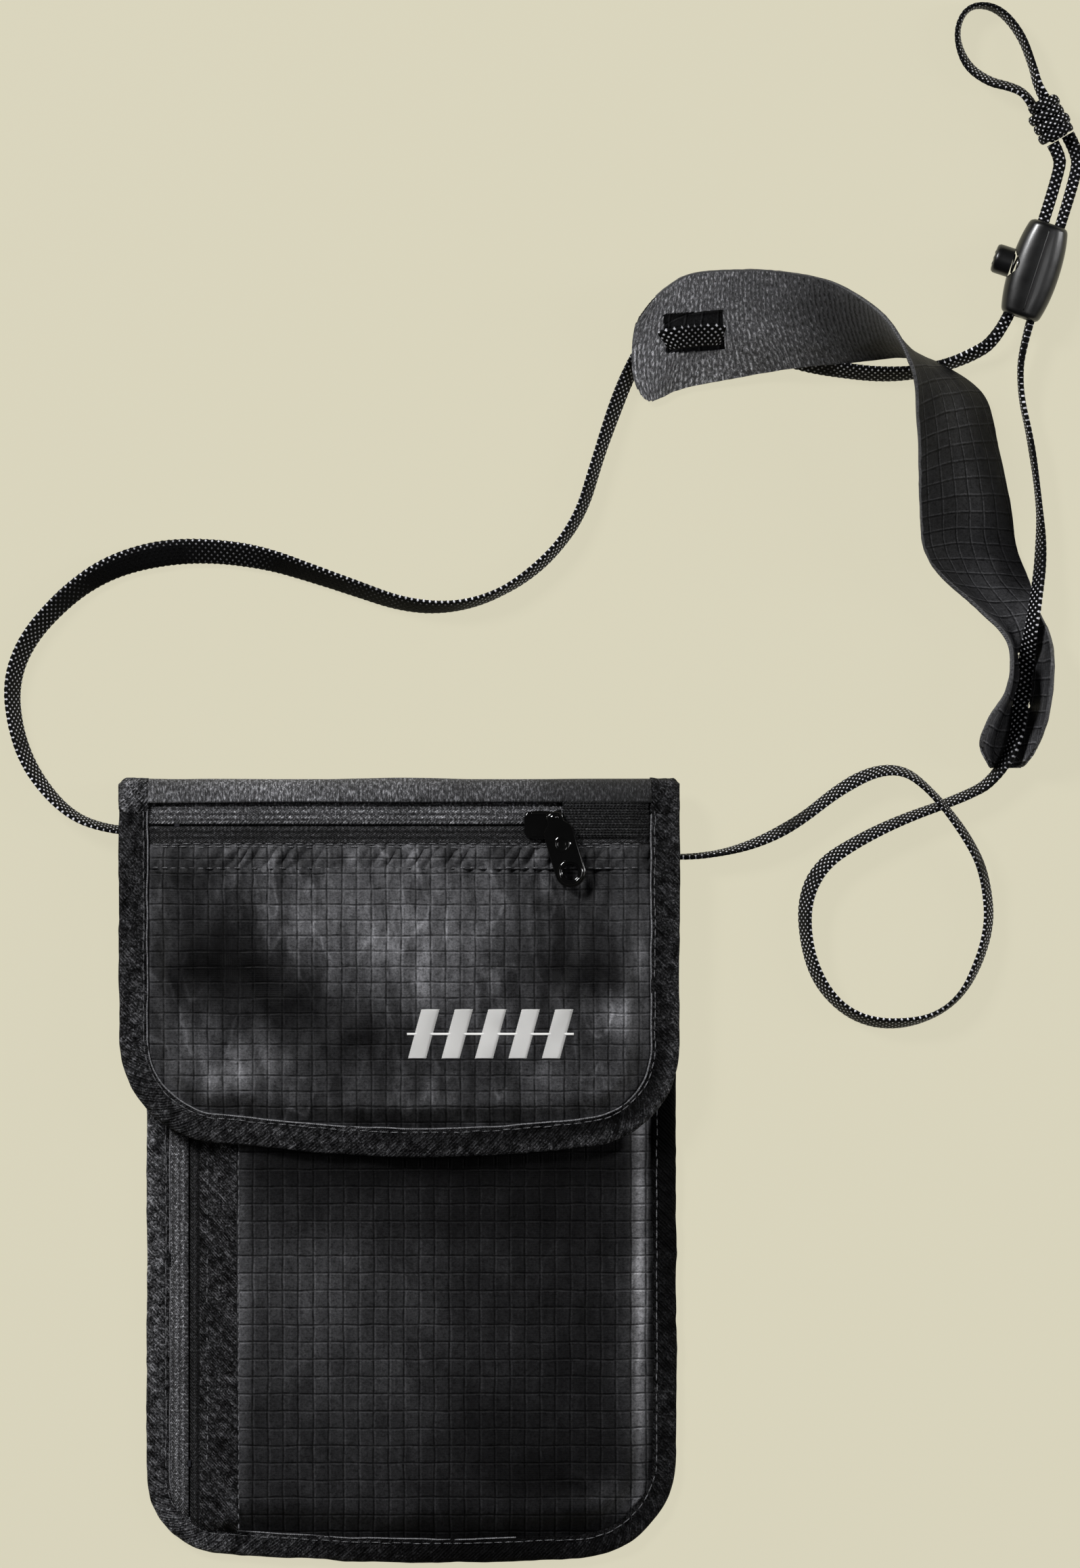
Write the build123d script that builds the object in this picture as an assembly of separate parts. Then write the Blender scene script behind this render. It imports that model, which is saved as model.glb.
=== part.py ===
from build123d import *
import math
import os

# Neck pouch wallet: flat zipped pouch with a folded-over zipped flap, a neck
# cord with a padded neck band, a sliding cord lock, a knot and a pull loop.
# Millimetres. X across the pouch, Y up the pouch, Z up from the surface it
# lies on. The origin is under the middle of the pouch.

# ---- driving dimensions -------------------------------------------------
BODY_LEFT, BODY_RIGHT = -64.6, 70.6      # outer edges of the pouch body
BODY_BOTTOM = -100.7                     # crown point of the bowed lower edge
BODY_TOP = 93.4                          # back panel's upper edge, at the fold
BODY_BIND_W = 6.0                        # visible width of the body binding
BODY_BIND_H = 2.6                        # thickness of the bound edge
FLAP_LEFT, FLAP_RIGHT = -71.35, 71.35      # outer edges of the flap
FLAP_BOTTOM = 2.1                        # crown point of the flap's lower edge
FLAP_TOP = 93.0                          # top of the flap's side binding
FLAP_BIND_W = 7.2
FLAP_Z = 7.9                             # underside of the flap binding
FLAP_BIND_H = 2.25
TAPE = 0.5                               # binding tape and coil tape thickness
FABRIC = 0.6                             # panel fabric thickness
PLATEAU_BODY = 6.0                       # underside of the billowed body panel
PLATEAU_FLAP = 13.4                      # underside of the billowed flap panel
HINGE_Y, HINGE_Z = 94.6, 8.6             # fold line of the flap
FOLD_R_IN, FOLD_R_OUT = 4.8, 5.4         # fold band radii about the fold line
FLAP_ZIP_Y = 88.2                        # chain line of the flap's zip
BODY_ZIP_X = -53.6                       # chain line of the body's zip
ZIP_SLOT = 0.8                           # gap the slider's web runs in
COIL_W, COIL_H = 1.8, 1.05
FLAP_SLIDER_X = 36.6                     # flap slider's middle at rest (closed)
BODY_SLIDER_Y = 80.0                     # body slider's middle at rest (closed)
SLIDER_L, SLIDER_W = 8.2, 6.2
CORD_D = 3.2                             # round section, same area as the flat braid
CORD_Z = 1.62                            # centre height of a cord lying on the surface
LOCK_L, LOCK_W, LOCK_T = 25.0, 12.8, 9.6
LOCK_C = (161.8, 229.6, 5.1)             # middle of the cord lock
LOCK_A = (0.312, 0.950)                  # the lock's long axis, towards the knot
LOCK_U = (0.950, -0.312)                 # across the lock, away from the button
BORE_R = 1.85
BORE_U = (-1.7, 2.7)                     # bore positions across the lock
BUTTON_R, BUTTON_OUT, BUTTON_TRAVEL = 3.8, 4.3, 1.9
BAND_LAYER, BAND_GAP = 0.45, 0.1         # neck band cloth layers
PULL_DIR = (0.285, -0.958)               # way the flap's zip pull points
PULL_PIVOT = (39.4, 90.2, 15.55)

os.makedirs("parts", exist_ok=True)
NODES = {}


def keep(name, shape):
    NODES[name] = shape
    export_step(shape, "parts/" + name + ".step")


# ---- outlines -----------------------------------------------------------
def rounded(points, radii):
    """Closed face through points, each corner an arc of its radius."""
    n = len(points)
    cuts = []
    for i in range(n):
        p = points[i]
        a = points[i - 1]
        b = points[(i + 1) % n]
        r = radii[i]
        va = (a[0] - p[0], a[1] - p[1])
        vb = (b[0] - p[0], b[1] - p[1])
        la, lb = math.hypot(*va), math.hypot(*vb)
        ua, ub = (va[0] / la, va[1] / la), (vb[0] / lb, vb[1] / lb)
        if r <= 0:
            cuts.append((p, None, p))
            continue
        half = math.acos(max(-1, min(1, ua[0] * ub[0] + ua[1] * ub[1]))) / 2
        t = r / math.tan(half)
        s = (p[0] + ua[0] * t, p[1] + ua[1] * t)
        e = (p[0] + ub[0] * t, p[1] + ub[1] * t)
        bis = (ua[0] + ub[0], ua[1] + ub[1])
        lbis = math.hypot(*bis)
        d = r / math.sin(half) - r
        m = (p[0] + bis[0] / lbis * d, p[1] + bis[1] / lbis * d)
        cuts.append((s, m, e))
    edges = []
    for i in range(n):
        s, m, e = cuts[i]
        if m is not None:
            edges.append(ThreePointArc(s, m, e))
        nxt = cuts[(i + 1) % n][0]
        edges.append(Line(e, nxt))
    return make_face(Wire([x.edge() if hasattr(x, "edge") else x for x in edges]))


def body_outline(w, top, top_inset=0.0):
    pts = [(BODY_LEFT + w, top - top_inset), (BODY_LEFT + w, -96.6 + 0.93 * w),
           (4.0, BODY_BOTTOM + w), (BODY_RIGHT - w, -98.0 + 0.95 * w),
           (BODY_RIGHT - w, top - top_inset)]
    return rounded(pts, [0, 20.0 - 0.9 * w, 500.0, 26.0 - 0.9 * w, 0])


def flap_outline(w, top):
    pts = [(FLAP_LEFT + w, top), (FLAP_LEFT + w, 9.6 + 0.92 * w),
           (8.0, FLAP_BOTTOM + w), (FLAP_RIGHT - w, 8.8 + 0.92 * w),
           (FLAP_RIGHT - w, top)]
    return rounded(pts, [0, 27.0 - 0.9 * w, 320.0, 25.0 - 0.9 * w, 0])


def slab(face, z0, z1):
    return extrude(Pos(0, 0, z0) * face, amount=z1 - z0)


def block(x0, x1, y0, y1, z0, z1):
    return Pos((x0 + x1) / 2, (y0 + y1) / 2, (z0 + z1) / 2) * Box(
        abs(x1 - x0), abs(y1 - y0), abs(z1 - z0))


def frustum(face0, z0, face1, z1):
    return loft([Pos(0, 0, z0) * face0, Pos(0, 0, z1) * face1], ruled=True)


def along_y(profile, y0, y1):
    """Prism along Y of a closed (x, z) outline."""
    f = make_face(Polyline(*[(x, y0, z) for x, z in profile], close=True))
    return extrude(f, amount=y1 - y0, dir=(0, 1, 0))


def one(shape):
    """The single solid of a boolean result."""
    solids = shape.solids()
    return solids[0] if len(solids) == 1 else max(solids, key=lambda s: s.volume)


def binding(outline, top, w, z0, h):
    """Fabric tape folded round an edge: a U-shaped section, open inwards."""
    ring = slab(outline(0, top + 20), z0, z0 + h) - slab(outline(w, top + 21), z0 - 1, z0 + h + 1)
    slot = slab(outline(TAPE, top + 22), z0 + TAPE, z0 + h - TAPE)
    ring = ring - slot
    return one(ring - block(-200, 200, top, top + 60, z0 - 2, z0 + h + 2))


# ---- pouch body ---------------------------------------------------------
keep("body_binding", binding(body_outline, 93.0, BODY_BIND_W, 0.0, BODY_BIND_H))
keep("back_panel", one(slab(body_outline(0.6, BODY_TOP), 0.55, 1.15)))

PANEL_X0 = -42.3
w0, w1 = BODY_BIND_W + 0.4, BODY_BIND_W + 9.4
outer = frustum(body_outline(w0, 95.0), 1.2, body_outline(w1, 86.0), PLATEAU_BODY + FABRIC)
inner = frustum(body_outline(w0 + 0.7, 94.2), 1.15, body_outline(w1 + 0.35, 85.6), PLATEAU_BODY)
flange = slab(body_outline(0.6, 92.6), 1.2, 1.8) - slab(body_outline(w0 + 0.3, 95.0), 1.0, 2.0)
panel = (outer - inner) + flange
panel = panel - block(-200, PANEL_X0, -200, 200, -1, 20) - block(-200, 200, 92.6, 120, -1, 20)
keep("front_panel", one(panel))

# strip of plain twill between the zip and the ripstop panel
keep("front_panel_edge_strip", one(along_y(
    [(-50.2, 3.98), (-49.7, 3.98), (-43.1, 6.0), (PANEL_X0 - 0.05, 6.0),
     (PANEL_X0 - 0.05, 6.6), (-43.2, 6.6), (-49.8, 4.58), (-50.2, 4.58)], -84.0, 86.0)))

# reverse-coil zip down the body's left side
ZB, ZT = 3.4, 3.9
zx = BODY_ZIP_X
keep("front_zip_tape_left", one(along_y(
    [(-63.9, 1.2), (-58.2, 1.2), (-56.9, ZB), (zx - ZIP_SLOT / 2, ZB), (zx - ZIP_SLOT / 2, ZT),
     (-57.1, ZT), (-58.45, 1.8), (-63.9, 1.8)], -76.0, 90.0)))
keep("front_zip_tape_right", one(block(zx + ZIP_SLOT / 2, -46.4, -82.0, 90.0, ZB, ZT)
     - block(-60, -40, 86.0, 95, 0, 10)))
keep("front_zip_coil_left", one(block(zx - ZIP_SLOT / 2 - COIL_W, zx - ZIP_SLOT / 2, -75.5, 85.5,
                                      ZB - 0.05 - COIL_H, ZB - 0.05)))
keep("front_zip_coil_right", one(block(zx + ZIP_SLOT / 2, zx + ZIP_SLOT / 2 + COIL_W, -75.5, 85.5,
                                       ZB - 0.05 - COIL_H, ZB - 0.05)))
stops = Compound(children=[
    one(block(zx - 0.35, zx + 0.35, -75.4, -73.8, 2.4, 4.3)),
    one(block(zx - 0.35, zx + 0.35, 84.6, 85.4, 2.4, 4.3))])
keep("front_zip_stops", stops)
keep("loop_patch", one(block(-20, 20, 15, 30, PLATEAU_BODY + FABRIC + 0.05, 7.3)))


def slider(cx, cy, zb, along):
    """Reverse-coil slider: lower plate, web in the chain slot, upper plate and
    two lugs with a pin for the pull. zb is the lower plate's underside."""
    L, W = SLIDER_L, SLIDER_W
    plate = Pos(0, 0, 0.425) * Box(L, W, 0.85)
    web = Pos(-1.4, 0, 1.8) * Box(2.4, 0.5, 2.1)
    top = Pos(0, 0, 3.15) * Box(L, W, 0.9)
    top = fillet(top.edges().filter_by(Axis.Z), 1.6)
    plate = fillet(plate.edges().filter_by(Axis.Z), 1.6)
    s = plate + web + top
    return Pos(cx, cy, zb) * (s if along == "x" else Rot(0, 0, 90) * s)


def pull_tab(length, width, thick, hole_r, eye_r):
    """Moulded pull in its own frame: eye on the X axis at the origin, the tab
    runs along -Y, with an open ring at its far end."""
    eye = Rot(0, 90, 0) * Cylinder(eye_r, 2.0)
    neck = block(-1.0, 1.0, -5.0, -eye_r * 0.6, -thick / 2, thick / 2)
    r = width / 2
    tab = make_face(Wire(Polyline((-1.0, -3.0), (-2.3, -5.2), (-2.0, -length + r * 1.6),
                                  (2.0, -length + r * 1.6), (2.3, -5.2), (1.0, -3.0),
                                  close=True).edges()))
    body = extrude(Pos(0, 0, -thick / 2) * tab, amount=thick)
    ring = Pos(0, -length + r, 0) * Cylinder(r, thick)
    p = eye + neck + body + ring
    p = p - Rot(0, 90, 0) * Cylinder(0.68, 6)
    p = p - Pos(0, -length + r, 0) * Cylinder(hole_r, thick * 3)
    return p


# lugs of the flap slider stand either side of the pull's eye
pull_ang = math.degrees(math.atan2(PULL_DIR[1], PULL_DIR[0])) + 90.0
s = slider(FLAP_SLIDER_X, FLAP_ZIP_Y, 10.7, "x")
frame = Pos(*PULL_PIVOT) * Rot(0, 0, pull_ang)
lug = Pos(0, 0, -0.6) * Box(0.8, 1.8, 1.9)
bridge = Pos(0, 0.2, -1.15) * Box(4.4, 2.4, 0.35)
bridge = bridge - Rot(0, 90, 0) * Cylinder(1.25, 2.4)
pin = Rot(0, 90, 0) * Cylinder(0.6, 4.0)
s = s + frame * (Pos(-1.6, 0, 0) * lug + Pos(1.6, 0, 0) * lug + bridge + pin)
keep("flap_zip_slider", one(s))
keep("flap_zip_pull", one(frame * pull_tab(17.6, 7.0, 1.8, 2.3, 1.15)))

s = slider(BODY_ZIP_X, BODY_SLIDER_Y, 1.45, "y")
bframe = Pos(BODY_ZIP_X, BODY_SLIDER_Y - 1.0, 6.1)
lug = Pos(0, 0, -0.45) * Box(0.8, 1.6, 1.6)
s = s + bframe * (Pos(-1.6, 0, 0) * lug + Pos(1.6, 0, 0) * lug + Rot(0, 90, 0) * Cylinder(0.55, 4.0))
keep("front_zip_slider", one(s))
keep("front_zip_pull", one(bframe * pull_tab(12.0, 5.0, 1.1, 1.5, 0.95)))

# ---- flap ---------------------------------------------------------------
keep("flap_binding", binding(flap_outline, FLAP_TOP, FLAP_BIND_W, FLAP_Z, FLAP_BIND_H))
keep("flap_lining", one(slab(flap_outline(0.6, 99.3), 8.45, 8.95)))
arc = (Rot(0, 90, 0) * Cylinder(FOLD_R_OUT, 139.0)) - (Rot(0, 90, 0) * Cylinder(FOLD_R_IN, 150.0))
arc = Pos(0, HINGE_Y, HINGE_Z) * arc
keep("fold_band", one(arc - block(-100, 100, 0, HINGE_Y, -10, 30)))

P0, P1 = PLATEAU_FLAP, PLATEAU_FLAP + FABRIC
w0, w1 = FLAP_BIND_W + 0.4, FLAP_BIND_W + 6.4
outer = frustum(flap_outline(w0, 76.9), 9.0, flap_outline(w1, 76.9), P1)
inner = frustum(flap_outline(w0 + 0.7, 78.0), 8.95, flap_outline(w1 + 0.35, 78.0), P0)
flange = slab(flap_outline(0.6, 76.9), 9.0, 9.6) - slab(flap_outline(w0 + 0.3, 78.0), 8.8, 9.8)
keep("flap_front_panel", one((outer - inner) + flange - block(-200, 200, 76.9, 120, 0, 30)))

SX0, SX1 = FLAP_LEFT + 0.7, FLAP_LEFT + w0          # flange under the binding
TX = FLAP_LEFT + w1                                  # foot of the plateau
RX0, RX1, RT = FLAP_RIGHT - 0.7, FLAP_RIGHT - w0, FLAP_RIGHT - w1


def bridge_strip(y0, y1, z, t, foot=9.0):
    """Strip across the flap, let into both side bindings."""
    return along_y([(SX0, foot), (SX1, foot), (TX, z), (RT, z), (RX1, foot), (RX0, foot),
                    (RX0, foot + t), (RX1 + 0.25, foot + t), (RT + 0.15, z + t),
                    (TX - 0.15, z + t), (SX1 - 0.25, foot + t), (SX0, foot + t)], y0, y1)


keep("flap_zip_seam_strip", one(bridge_strip(77.0, 83.2, P0, FABRIC)))
keep("flap_zip_tape_lower", one(bridge_strip(83.3, FLAP_ZIP_Y - ZIP_SLOT / 2, P0 - 0.6, TAPE)))
keep("flap_zip_tape_upper", one(bridge_strip(FLAP_ZIP_Y + ZIP_SLOT / 2, 92.9, P0 - 0.6, TAPE)))
CT = P0 - 0.65
keep("flap_zip_coil_lower", one(block(-57.2, 57.4, FLAP_ZIP_Y - ZIP_SLOT / 2 - COIL_W,
                                      FLAP_ZIP_Y - ZIP_SLOT / 2, CT - COIL_H, CT)))
keep("flap_zip_coil_upper", one(block(-57.2, 57.4, FLAP_ZIP_Y + ZIP_SLOT / 2,
                                      FLAP_ZIP_Y + ZIP_SLOT / 2 + COIL_W, CT - COIL_H, CT)))
keep("flap_zip_stops", Compound(children=[
    one(block(-57.1, -55.9, FLAP_ZIP_Y - 0.35, FLAP_ZIP_Y + 0.35, CT - COIL_H, P0)),
    one(block(41.8, 43.0, FLAP_ZIP_Y - 0.35, FLAP_ZIP_Y + 0.35, CT - COIL_H, P0 - 0.1))]))
garage = along_y([(41.6, P0 - 0.05), (RT + 0.4, P0 - 0.05), (RT + 3.2, P0 - 1.75), (RT + 3.5, P0 - 1.15),
                  (RT + 0.6, P0 + 0.65), (41.6, P0 + 0.65)], 85.4, 94.3)
for i in range(7):
    garage = garage - block(40, 70, 86.4 + 1.15 * i, 86.8 + 1.15 * i, P0 + 0.4, P0 + 1)
keep("zip_garage", one(garage))
keep("hook_patch", one(block(-20, 20, 15, 30, 7.75, 8.4)))

# raised satin-stitch motif: five plain slanted lozenges on a thin base line
motif = block(2.0, 44.4, 34.9, 35.4, P1 + 0.02, P1 + 0.22)
for i in range(5):
    cx = 6.2 + 8.5 * i
    f = make_face(Polyline((cx - 4.0, 28.9), (cx + 0.6, 28.9), (cx + 4.0, 41.4), (cx - 0.6, 41.4),
                           close=True))
    motif = motif + extrude(Pos(0, 0, P1 + 0.02) * f, amount=0.4)
keep("embroidered_patch", one(motif))

# ---- cord, lock, knot and loop -----------------------------------------


def tube(name, pts, d=CORD_D, fixed=None):
    """Round cord along straight runs joined by tangent arcs."""
    radii = []
    V = [Vector(*p) for p in pts]
    for i in range(1, len(V) - 1):
        a, b = V[i] - V[i - 1], V[i + 1] - V[i]
        turn = math.radians(max(a.get_angle(b), 0.2))
        r = 0.45 * min(a.length, b.length) / math.tan(turn / 2)
        if fixed and i in fixed:
            r = min(r, fixed[i])
        radii.append(r)
    path = FilletPolyline(*pts, radius=radii)
    start = Plane(origin=V[0], z_dir=(V[1] - V[0]).normalized())
    solid = sweep(start * Circle(d / 2), path=path)
    solid = one(solid)
    ln = path.length
    print(name, "length", round(ln, 1), "volume", round(solid.volume, 1),
          "section x length", round(math.pi * d * d / 4 * ln, 1))
    print("   radii", [round(x, 1) for x in radii])
    print("   runs", [round((V[i + 1] - V[i]).length, 1) for i in range(len(V) - 1)])
    return solid


LEFT_ROUTE = [(-64.65, 86.6, CORD_Z), (-73.6, 86.6, CORD_Z), (-86.2, 91.6, CORD_Z),
              (-97.6, 107.6, CORD_Z), (-99.7, 130.3, CORD_Z), (-82.1, 150.4, CORD_Z),
              (-62.5, 158.3, CORD_Z), (-38.8, 157.9, CORD_Z), (-17.4, 150.8, CORD_Z),
              (6.1, 142.5, CORD_Z), (26.8, 146.6, CORD_Z), (44.9, 162.8, CORD_Z),
              (51.5, 185.2, CORD_Z), (59.8, 207.3, CORD_Z), (79.4, 213.7, CORD_Z),
              (104.6, 205.4, CORD_Z), (126.4, 202.5, CORD_Z), (142.6, 206.2, 2.3),
              (154.6, 213.2, 5.1), (168.47, 255.25, 5.1), (168.05, 259.23, 5.1),
              (166.45, 262.0, 5.1)]
RIGHT_ROUTE = [(170.26, 264.2, 5.1), (172.5, 260.3, 5.1), (172.98, 254.9, 5.1),
               (158.75, 211.6, 5.1), (158.0, 199.5, 2.9), (161.2, 185.6, CORD_Z),
               (163.4, 168.0, CORD_Z), (163.6, 156.6, 3.2), (162.4, 147.0, 7.6),
               (160.4, 137.3, 6.6), (159.6, 124.9, 3.8), (156.4, 106.3, 3.9),
               (146.4, 96.2, 2.7), (121.5, 87.3, CORD_Z), (102.6, 74.9, CORD_Z),
               (104.3, 50.0, CORD_Z), (118.4, 36.3, CORD_Z), (141.0, 39.6, CORD_Z),
               (150.7, 59.4, CORD_Z), (149.6, 75.0, 3.4), (144.6, 85.4, 8.1),
               (135.2, 97.4, 8.1), (127.0, 103.2, 4.6), (115.4, 100.0, CORD_Z),
               (98.5, 86.4, CORD_Z), (80.6, 80.1, CORD_Z), (70.65, 80.1, CORD_Z)]
LOOP_ROUTE = [(161.28, 271.76, 5.1), (159.53, 274.79, 5.1), (155.4, 276.6, 4.6),
              (150.2, 277.8, 3.4), (144.2, 282.2, 2.3), (141.6, 290.6, CORD_Z),
              (144.9, 297.5, CORD_Z), (152.4, 297.1, CORD_Z), (158.5, 290.2, 2.2),
              (161.6, 281.4, 3.6), (162.65, 276.6, 5.1), (164.4, 273.57, 5.1)]
keep("neck_cord_left", tube("neck_cord_left", LEFT_ROUTE, fixed={18: 12.5}))
keep("neck_cord_right", tube("neck_cord_right", RIGHT_ROUTE, fixed={3: 12.5}))
keep("pull_loop", tube("pull_loop", LOOP_ROUTE))

# barrel knot: three wraps, flat where the cords enter
prof = make_face(Wire([
    Line((0, -5.5), (4.0, -5.5)).edge(), ThreePointArc((4.0, -5.5), (4.9, -3.7), (4.2, -1.9)).edge(),
    ThreePointArc((4.2, -1.9), (5.0, 0), (4.2, 1.9)).edge(),
    ThreePointArc((4.2, 1.9), (4.9, 3.7), (4.0, 5.5)).edge(),
    Line((4.0, 5.5), (0, 5.5)).edge(), Line((0, 5.5), (0, -5.5)).edge()]))
knot = revolve(prof, Axis.Y, 360)
keep("cord_knot", one(Pos(165.6, 267.87, 5.1) * Rot(0, 0, 30) * knot))

# cord lock, built with Y along its axis and X across it
lock_ang = math.degrees(math.atan2(LOCK_A[1], LOCK_A[0])) - 90.0
LF = Pos(*LOCK_C) * Rot(0, 0, lock_ang)
shell = extrude(Pos(0, 0, -LOCK_T / 2) * rounded(
    [(-LOCK_W / 2 + 0.9, -LOCK_L / 2), (LOCK_W / 2 - 0.9, -LOCK_L / 2), (LOCK_W / 2, 0),
     (LOCK_W / 2 - 0.9, LOCK_L / 2), (-LOCK_W / 2 + 0.9, LOCK_L / 2), (-LOCK_W / 2, 0)],
    [3.6, 3.6, 90, 3.6, 3.6, 90]), amount=LOCK_T)
shell = chamfer(shell.edges().group_by(Axis.Z)[-1] + shell.edges().group_by(Axis.Z)[0], 1.6)
for bu in BORE_U:
    shell = shell - Pos(bu, 0, 0) * Rot(90, 0, 0) * Cylinder(BORE_R, LOCK_L + 4)
shell = shell - Pos(-LOCK_W / 2 - 1.85, 0, 0) * Rot(0, 90, 0) * Cylinder(BUTTON_R + 0.1, 8.3)
keep("cord_lock_housing", one(LF * shell))
bx0, bx1 = -LOCK_W / 2 - BUTTON_OUT, -LOCK_W / 2 + 0.3
button = Pos((bx0 + bx1) / 2, 0, 0) * Rot(0, 90, 0) * Cylinder(BUTTON_R, bx1 - bx0)
button = fillet(button.edges().group_by(Axis.X)[0], 1.0)
button = button - Pos((bx0 + 1.0 + bx1 + 1) / 2, 0, 0) * Rot(0, 90, 0) * Cylinder(2.9, bx1 + 1 - bx0 - 1.0)
keep("cord_lock_button", one(LF * button))
sx0, sx1 = bx0 + 1.05, -4.15
spring = Pos((sx0 + sx1) / 2, 0, 0) * Rot(0, 90, 0) * (Cylinder(2.6, sx1 - sx0) - Cylinder(2.1, 20))
keep("cord_lock_spring", one(LF * spring))

# ---- neck band ----------------------------------------------------------
# Stations along the band: edge A, two points across, edge B.  The band lies
# on its B edge, turns over half way, and cups into a trough near its far end.
BAND = [
    [(61.8, 219.2, 13.6), (59.6, 213.6, 9.4), (59.4, 203.6, 4.9), (62.2, 195.6, 0.72)],
    [(68.4, 225.2, 16.2), (67.4, 216.4, 11.6), (66.8, 207.2, 6.4), (66.5, 197.6, 0.72)],
    [(75.4, 228.4, 17.8), (74.6, 219.2, 12.8), (73.8, 209.8, 7.2), (73.2, 200.2, 0.75)],
    [(88.6, 229.2, 18.3), (88.7, 220.4, 13.4), (90.4, 211.2, 7.6), (92.8, 203.8, 2.0)],
    [(97.3, 228.6, 18.8), (98.2, 220.6, 14.4), (100.4, 212.4, 9.4), (103.0, 205.2, 4.4)],
    [(108.6, 226.4, 20.0), (109.6, 219.4, 15.2), (111.8, 212.2, 10.0), (114.2, 206.4, 4.5)],
    [(117.0, 222.0, 23.6), (117.8, 216.6, 17.4), (119.4, 211.4, 11.2), (121.8, 207.2, 4.6)],
    [(123.2, 216.6, 28.0), (124.4, 213.2, 20.4), (126.2, 210.2, 12.6), (128.8, 207.8, 4.7)],
    [(128.0, 208.6, 31.4), (130.0, 207.9, 22.6), (132.6, 207.2, 13.6), (135.4, 206.6, 4.7)],
    [(130.8, 201.0, 30.8), (134.4, 202.2, 21.6), (138.6, 202.6, 12.2), (142.8, 202.8, 3.4)],
    [(131.4, 191.8, 28.2), (137.6, 194.8, 19.8), (144.0, 196.0, 10.4), (149.4, 196.4, 1.0)],
    [(132.0, 180.2, 24.6), (139.0, 182.8, 17.4), (146.6, 184.0, 8.8), (152.4, 184.4, 0.75)],
    [(132.4, 168.4, 21.2), (140.2, 170.2, 15.0), (149.0, 170.6, 7.4), (155.6, 170.2, 0.75)],
    [(133.2, 159.0, 18.0), (141.6, 160.4, 10.6), (150.4, 160.2, 4.2), (157.0, 159.6, 0.75)],
    [(137.8, 151.6, 15.0), (145.2, 151.2, 6.2), (153.6, 151.0, 1.4), (160.6, 150.4, 1.0)],
    [(146.4, 144.0, 13.0), (151.6, 142.4, 3.2), (158.6, 143.0, 0.8), (162.8, 143.2, 2.6)],
    [(154.2, 136.4, 13.8), (156.6, 134.8, 0.9), (162.4, 136.2, 0.8), (165.4, 136.6, 6.4)],
    [(155.7, 129.4, 14.6), (157.0, 129.0, 0.75), (163.0, 129.6, 0.75), (166.1, 129.8, 14.2)],
    [(154.4, 122.2, 14.4), (156.4, 121.0, 0.75), (162.4, 121.4, 0.75), (165.6, 121.6, 14.4)],
    [(150.2, 115.2, 13.2), (153.6, 113.6, 0.75), (160.2, 113.8, 0.75), (164.4, 114.4, 13.0)],
    [(148.0, 108.6, 10.6), (151.0, 107.2, 0.75), (158.4, 107.4, 0.75), (161.9, 108.0, 9.6)],
    [(150.6, 103.2, 6.6), (151.8, 102.8, 0.78), (157.2, 102.8, 0.78), (159.6, 103.2, 6.0)],
]


def band_normals():
    rows, cols = len(BAND), 4
    out = []
    for i in range(rows):
        line = []
        for j in range(cols):
            a = Vector(*BAND[max(i - 1, 0)][j])
            b = Vector(*BAND[min(i + 1, rows - 1)][j])
            c = Vector(*BAND[i][max(j - 1, 0)])
            d = Vector(*BAND[i][min(j + 1, cols - 1)])
            line.append((b - a).cross(c - d).normalized())
        out.append(line)
    return out


def band_layer(lo, hi):
    """Closed faceted sheet between two offsets from the band's middle surface."""
    nrm = band_normals()
    rows, cols = len(BAND), 4
    top = [[Vector(*BAND[i][j]) + nrm[i][j] * hi for j in range(cols)] for i in range(rows)]
    bot = [[Vector(*BAND[i][j]) + nrm[i][j] * lo for j in range(cols)] for i in range(rows)]
    faces = []

    def tri(a, b, c):
        faces.append(Face(Wire.make_polygon([a, b, c], close=True)))

    for i in range(rows - 1):
        for j in range(cols - 1):
            for g, flip in ((top, False), (bot, True)):
                a, b, c, d = g[i][j], g[i + 1][j], g[i + 1][j + 1], g[i][j + 1]
                if flip:
                    tri(a, c, b)
                    tri(a, d, c)
                else:
                    tri(a, b, c)
                    tri(a, c, d)
    rim = ([(0, j) for j in range(cols)] + [(i, cols - 1) for i in range(1, rows)]
           + [(rows - 1, j) for j in range(cols - 2, -1, -1)] + [(i, 0) for i in range(rows - 2, 0, -1)])
    for k in range(len(rim)):
        i0, j0 = rim[k]
        i1, j1 = rim[(k + 1) % len(rim)]
        tri(top[i0][j0], top[i1][j1], bot[i1][j1])
        tri(top[i0][j0], bot[i1][j1], bot[i0][j0])
    return Solid(Shell(faces))


half = BAND_GAP / 2
lining = band_layer(half, half + BAND_LAYER)
outer_l = band_layer(-half - BAND_LAYER, -half)
slits = [Pos(68.0, 211.6, 9) * Rot(0, 0, 4) * Box(1.2, 8.0, 16),
         Pos(81.4, 213.2, 9) * Rot(0, 0, 0) * Box(1.2, 8.0, 16),
         Pos(159.8, 132.2, 0.6) * Rot(0, 0, 8) * Box(4.6, 1.2, 3),
         Pos(158.6, 118.4, 0.6) * Rot(0, 0, 4) * Box(4.6, 1.2, 3)]
for name, layer in (("neck_band_lining", lining), ("neck_band_outer", outer_l)):
    if layer.volume < 0:
        print(name, "is inside out")
    cut = layer
    for sl in slits:
        cut = cut - sl
    print(name, "volume", round(layer.volume, 1), round(one(cut).volume, 1),
          "valid", one(cut).is_valid)
    keep(name, one(cut))

print(len(NODES), "nodes")
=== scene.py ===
import math

import bmesh
import bpy
import numpy as np
from mathutils import Matrix, Vector


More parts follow.
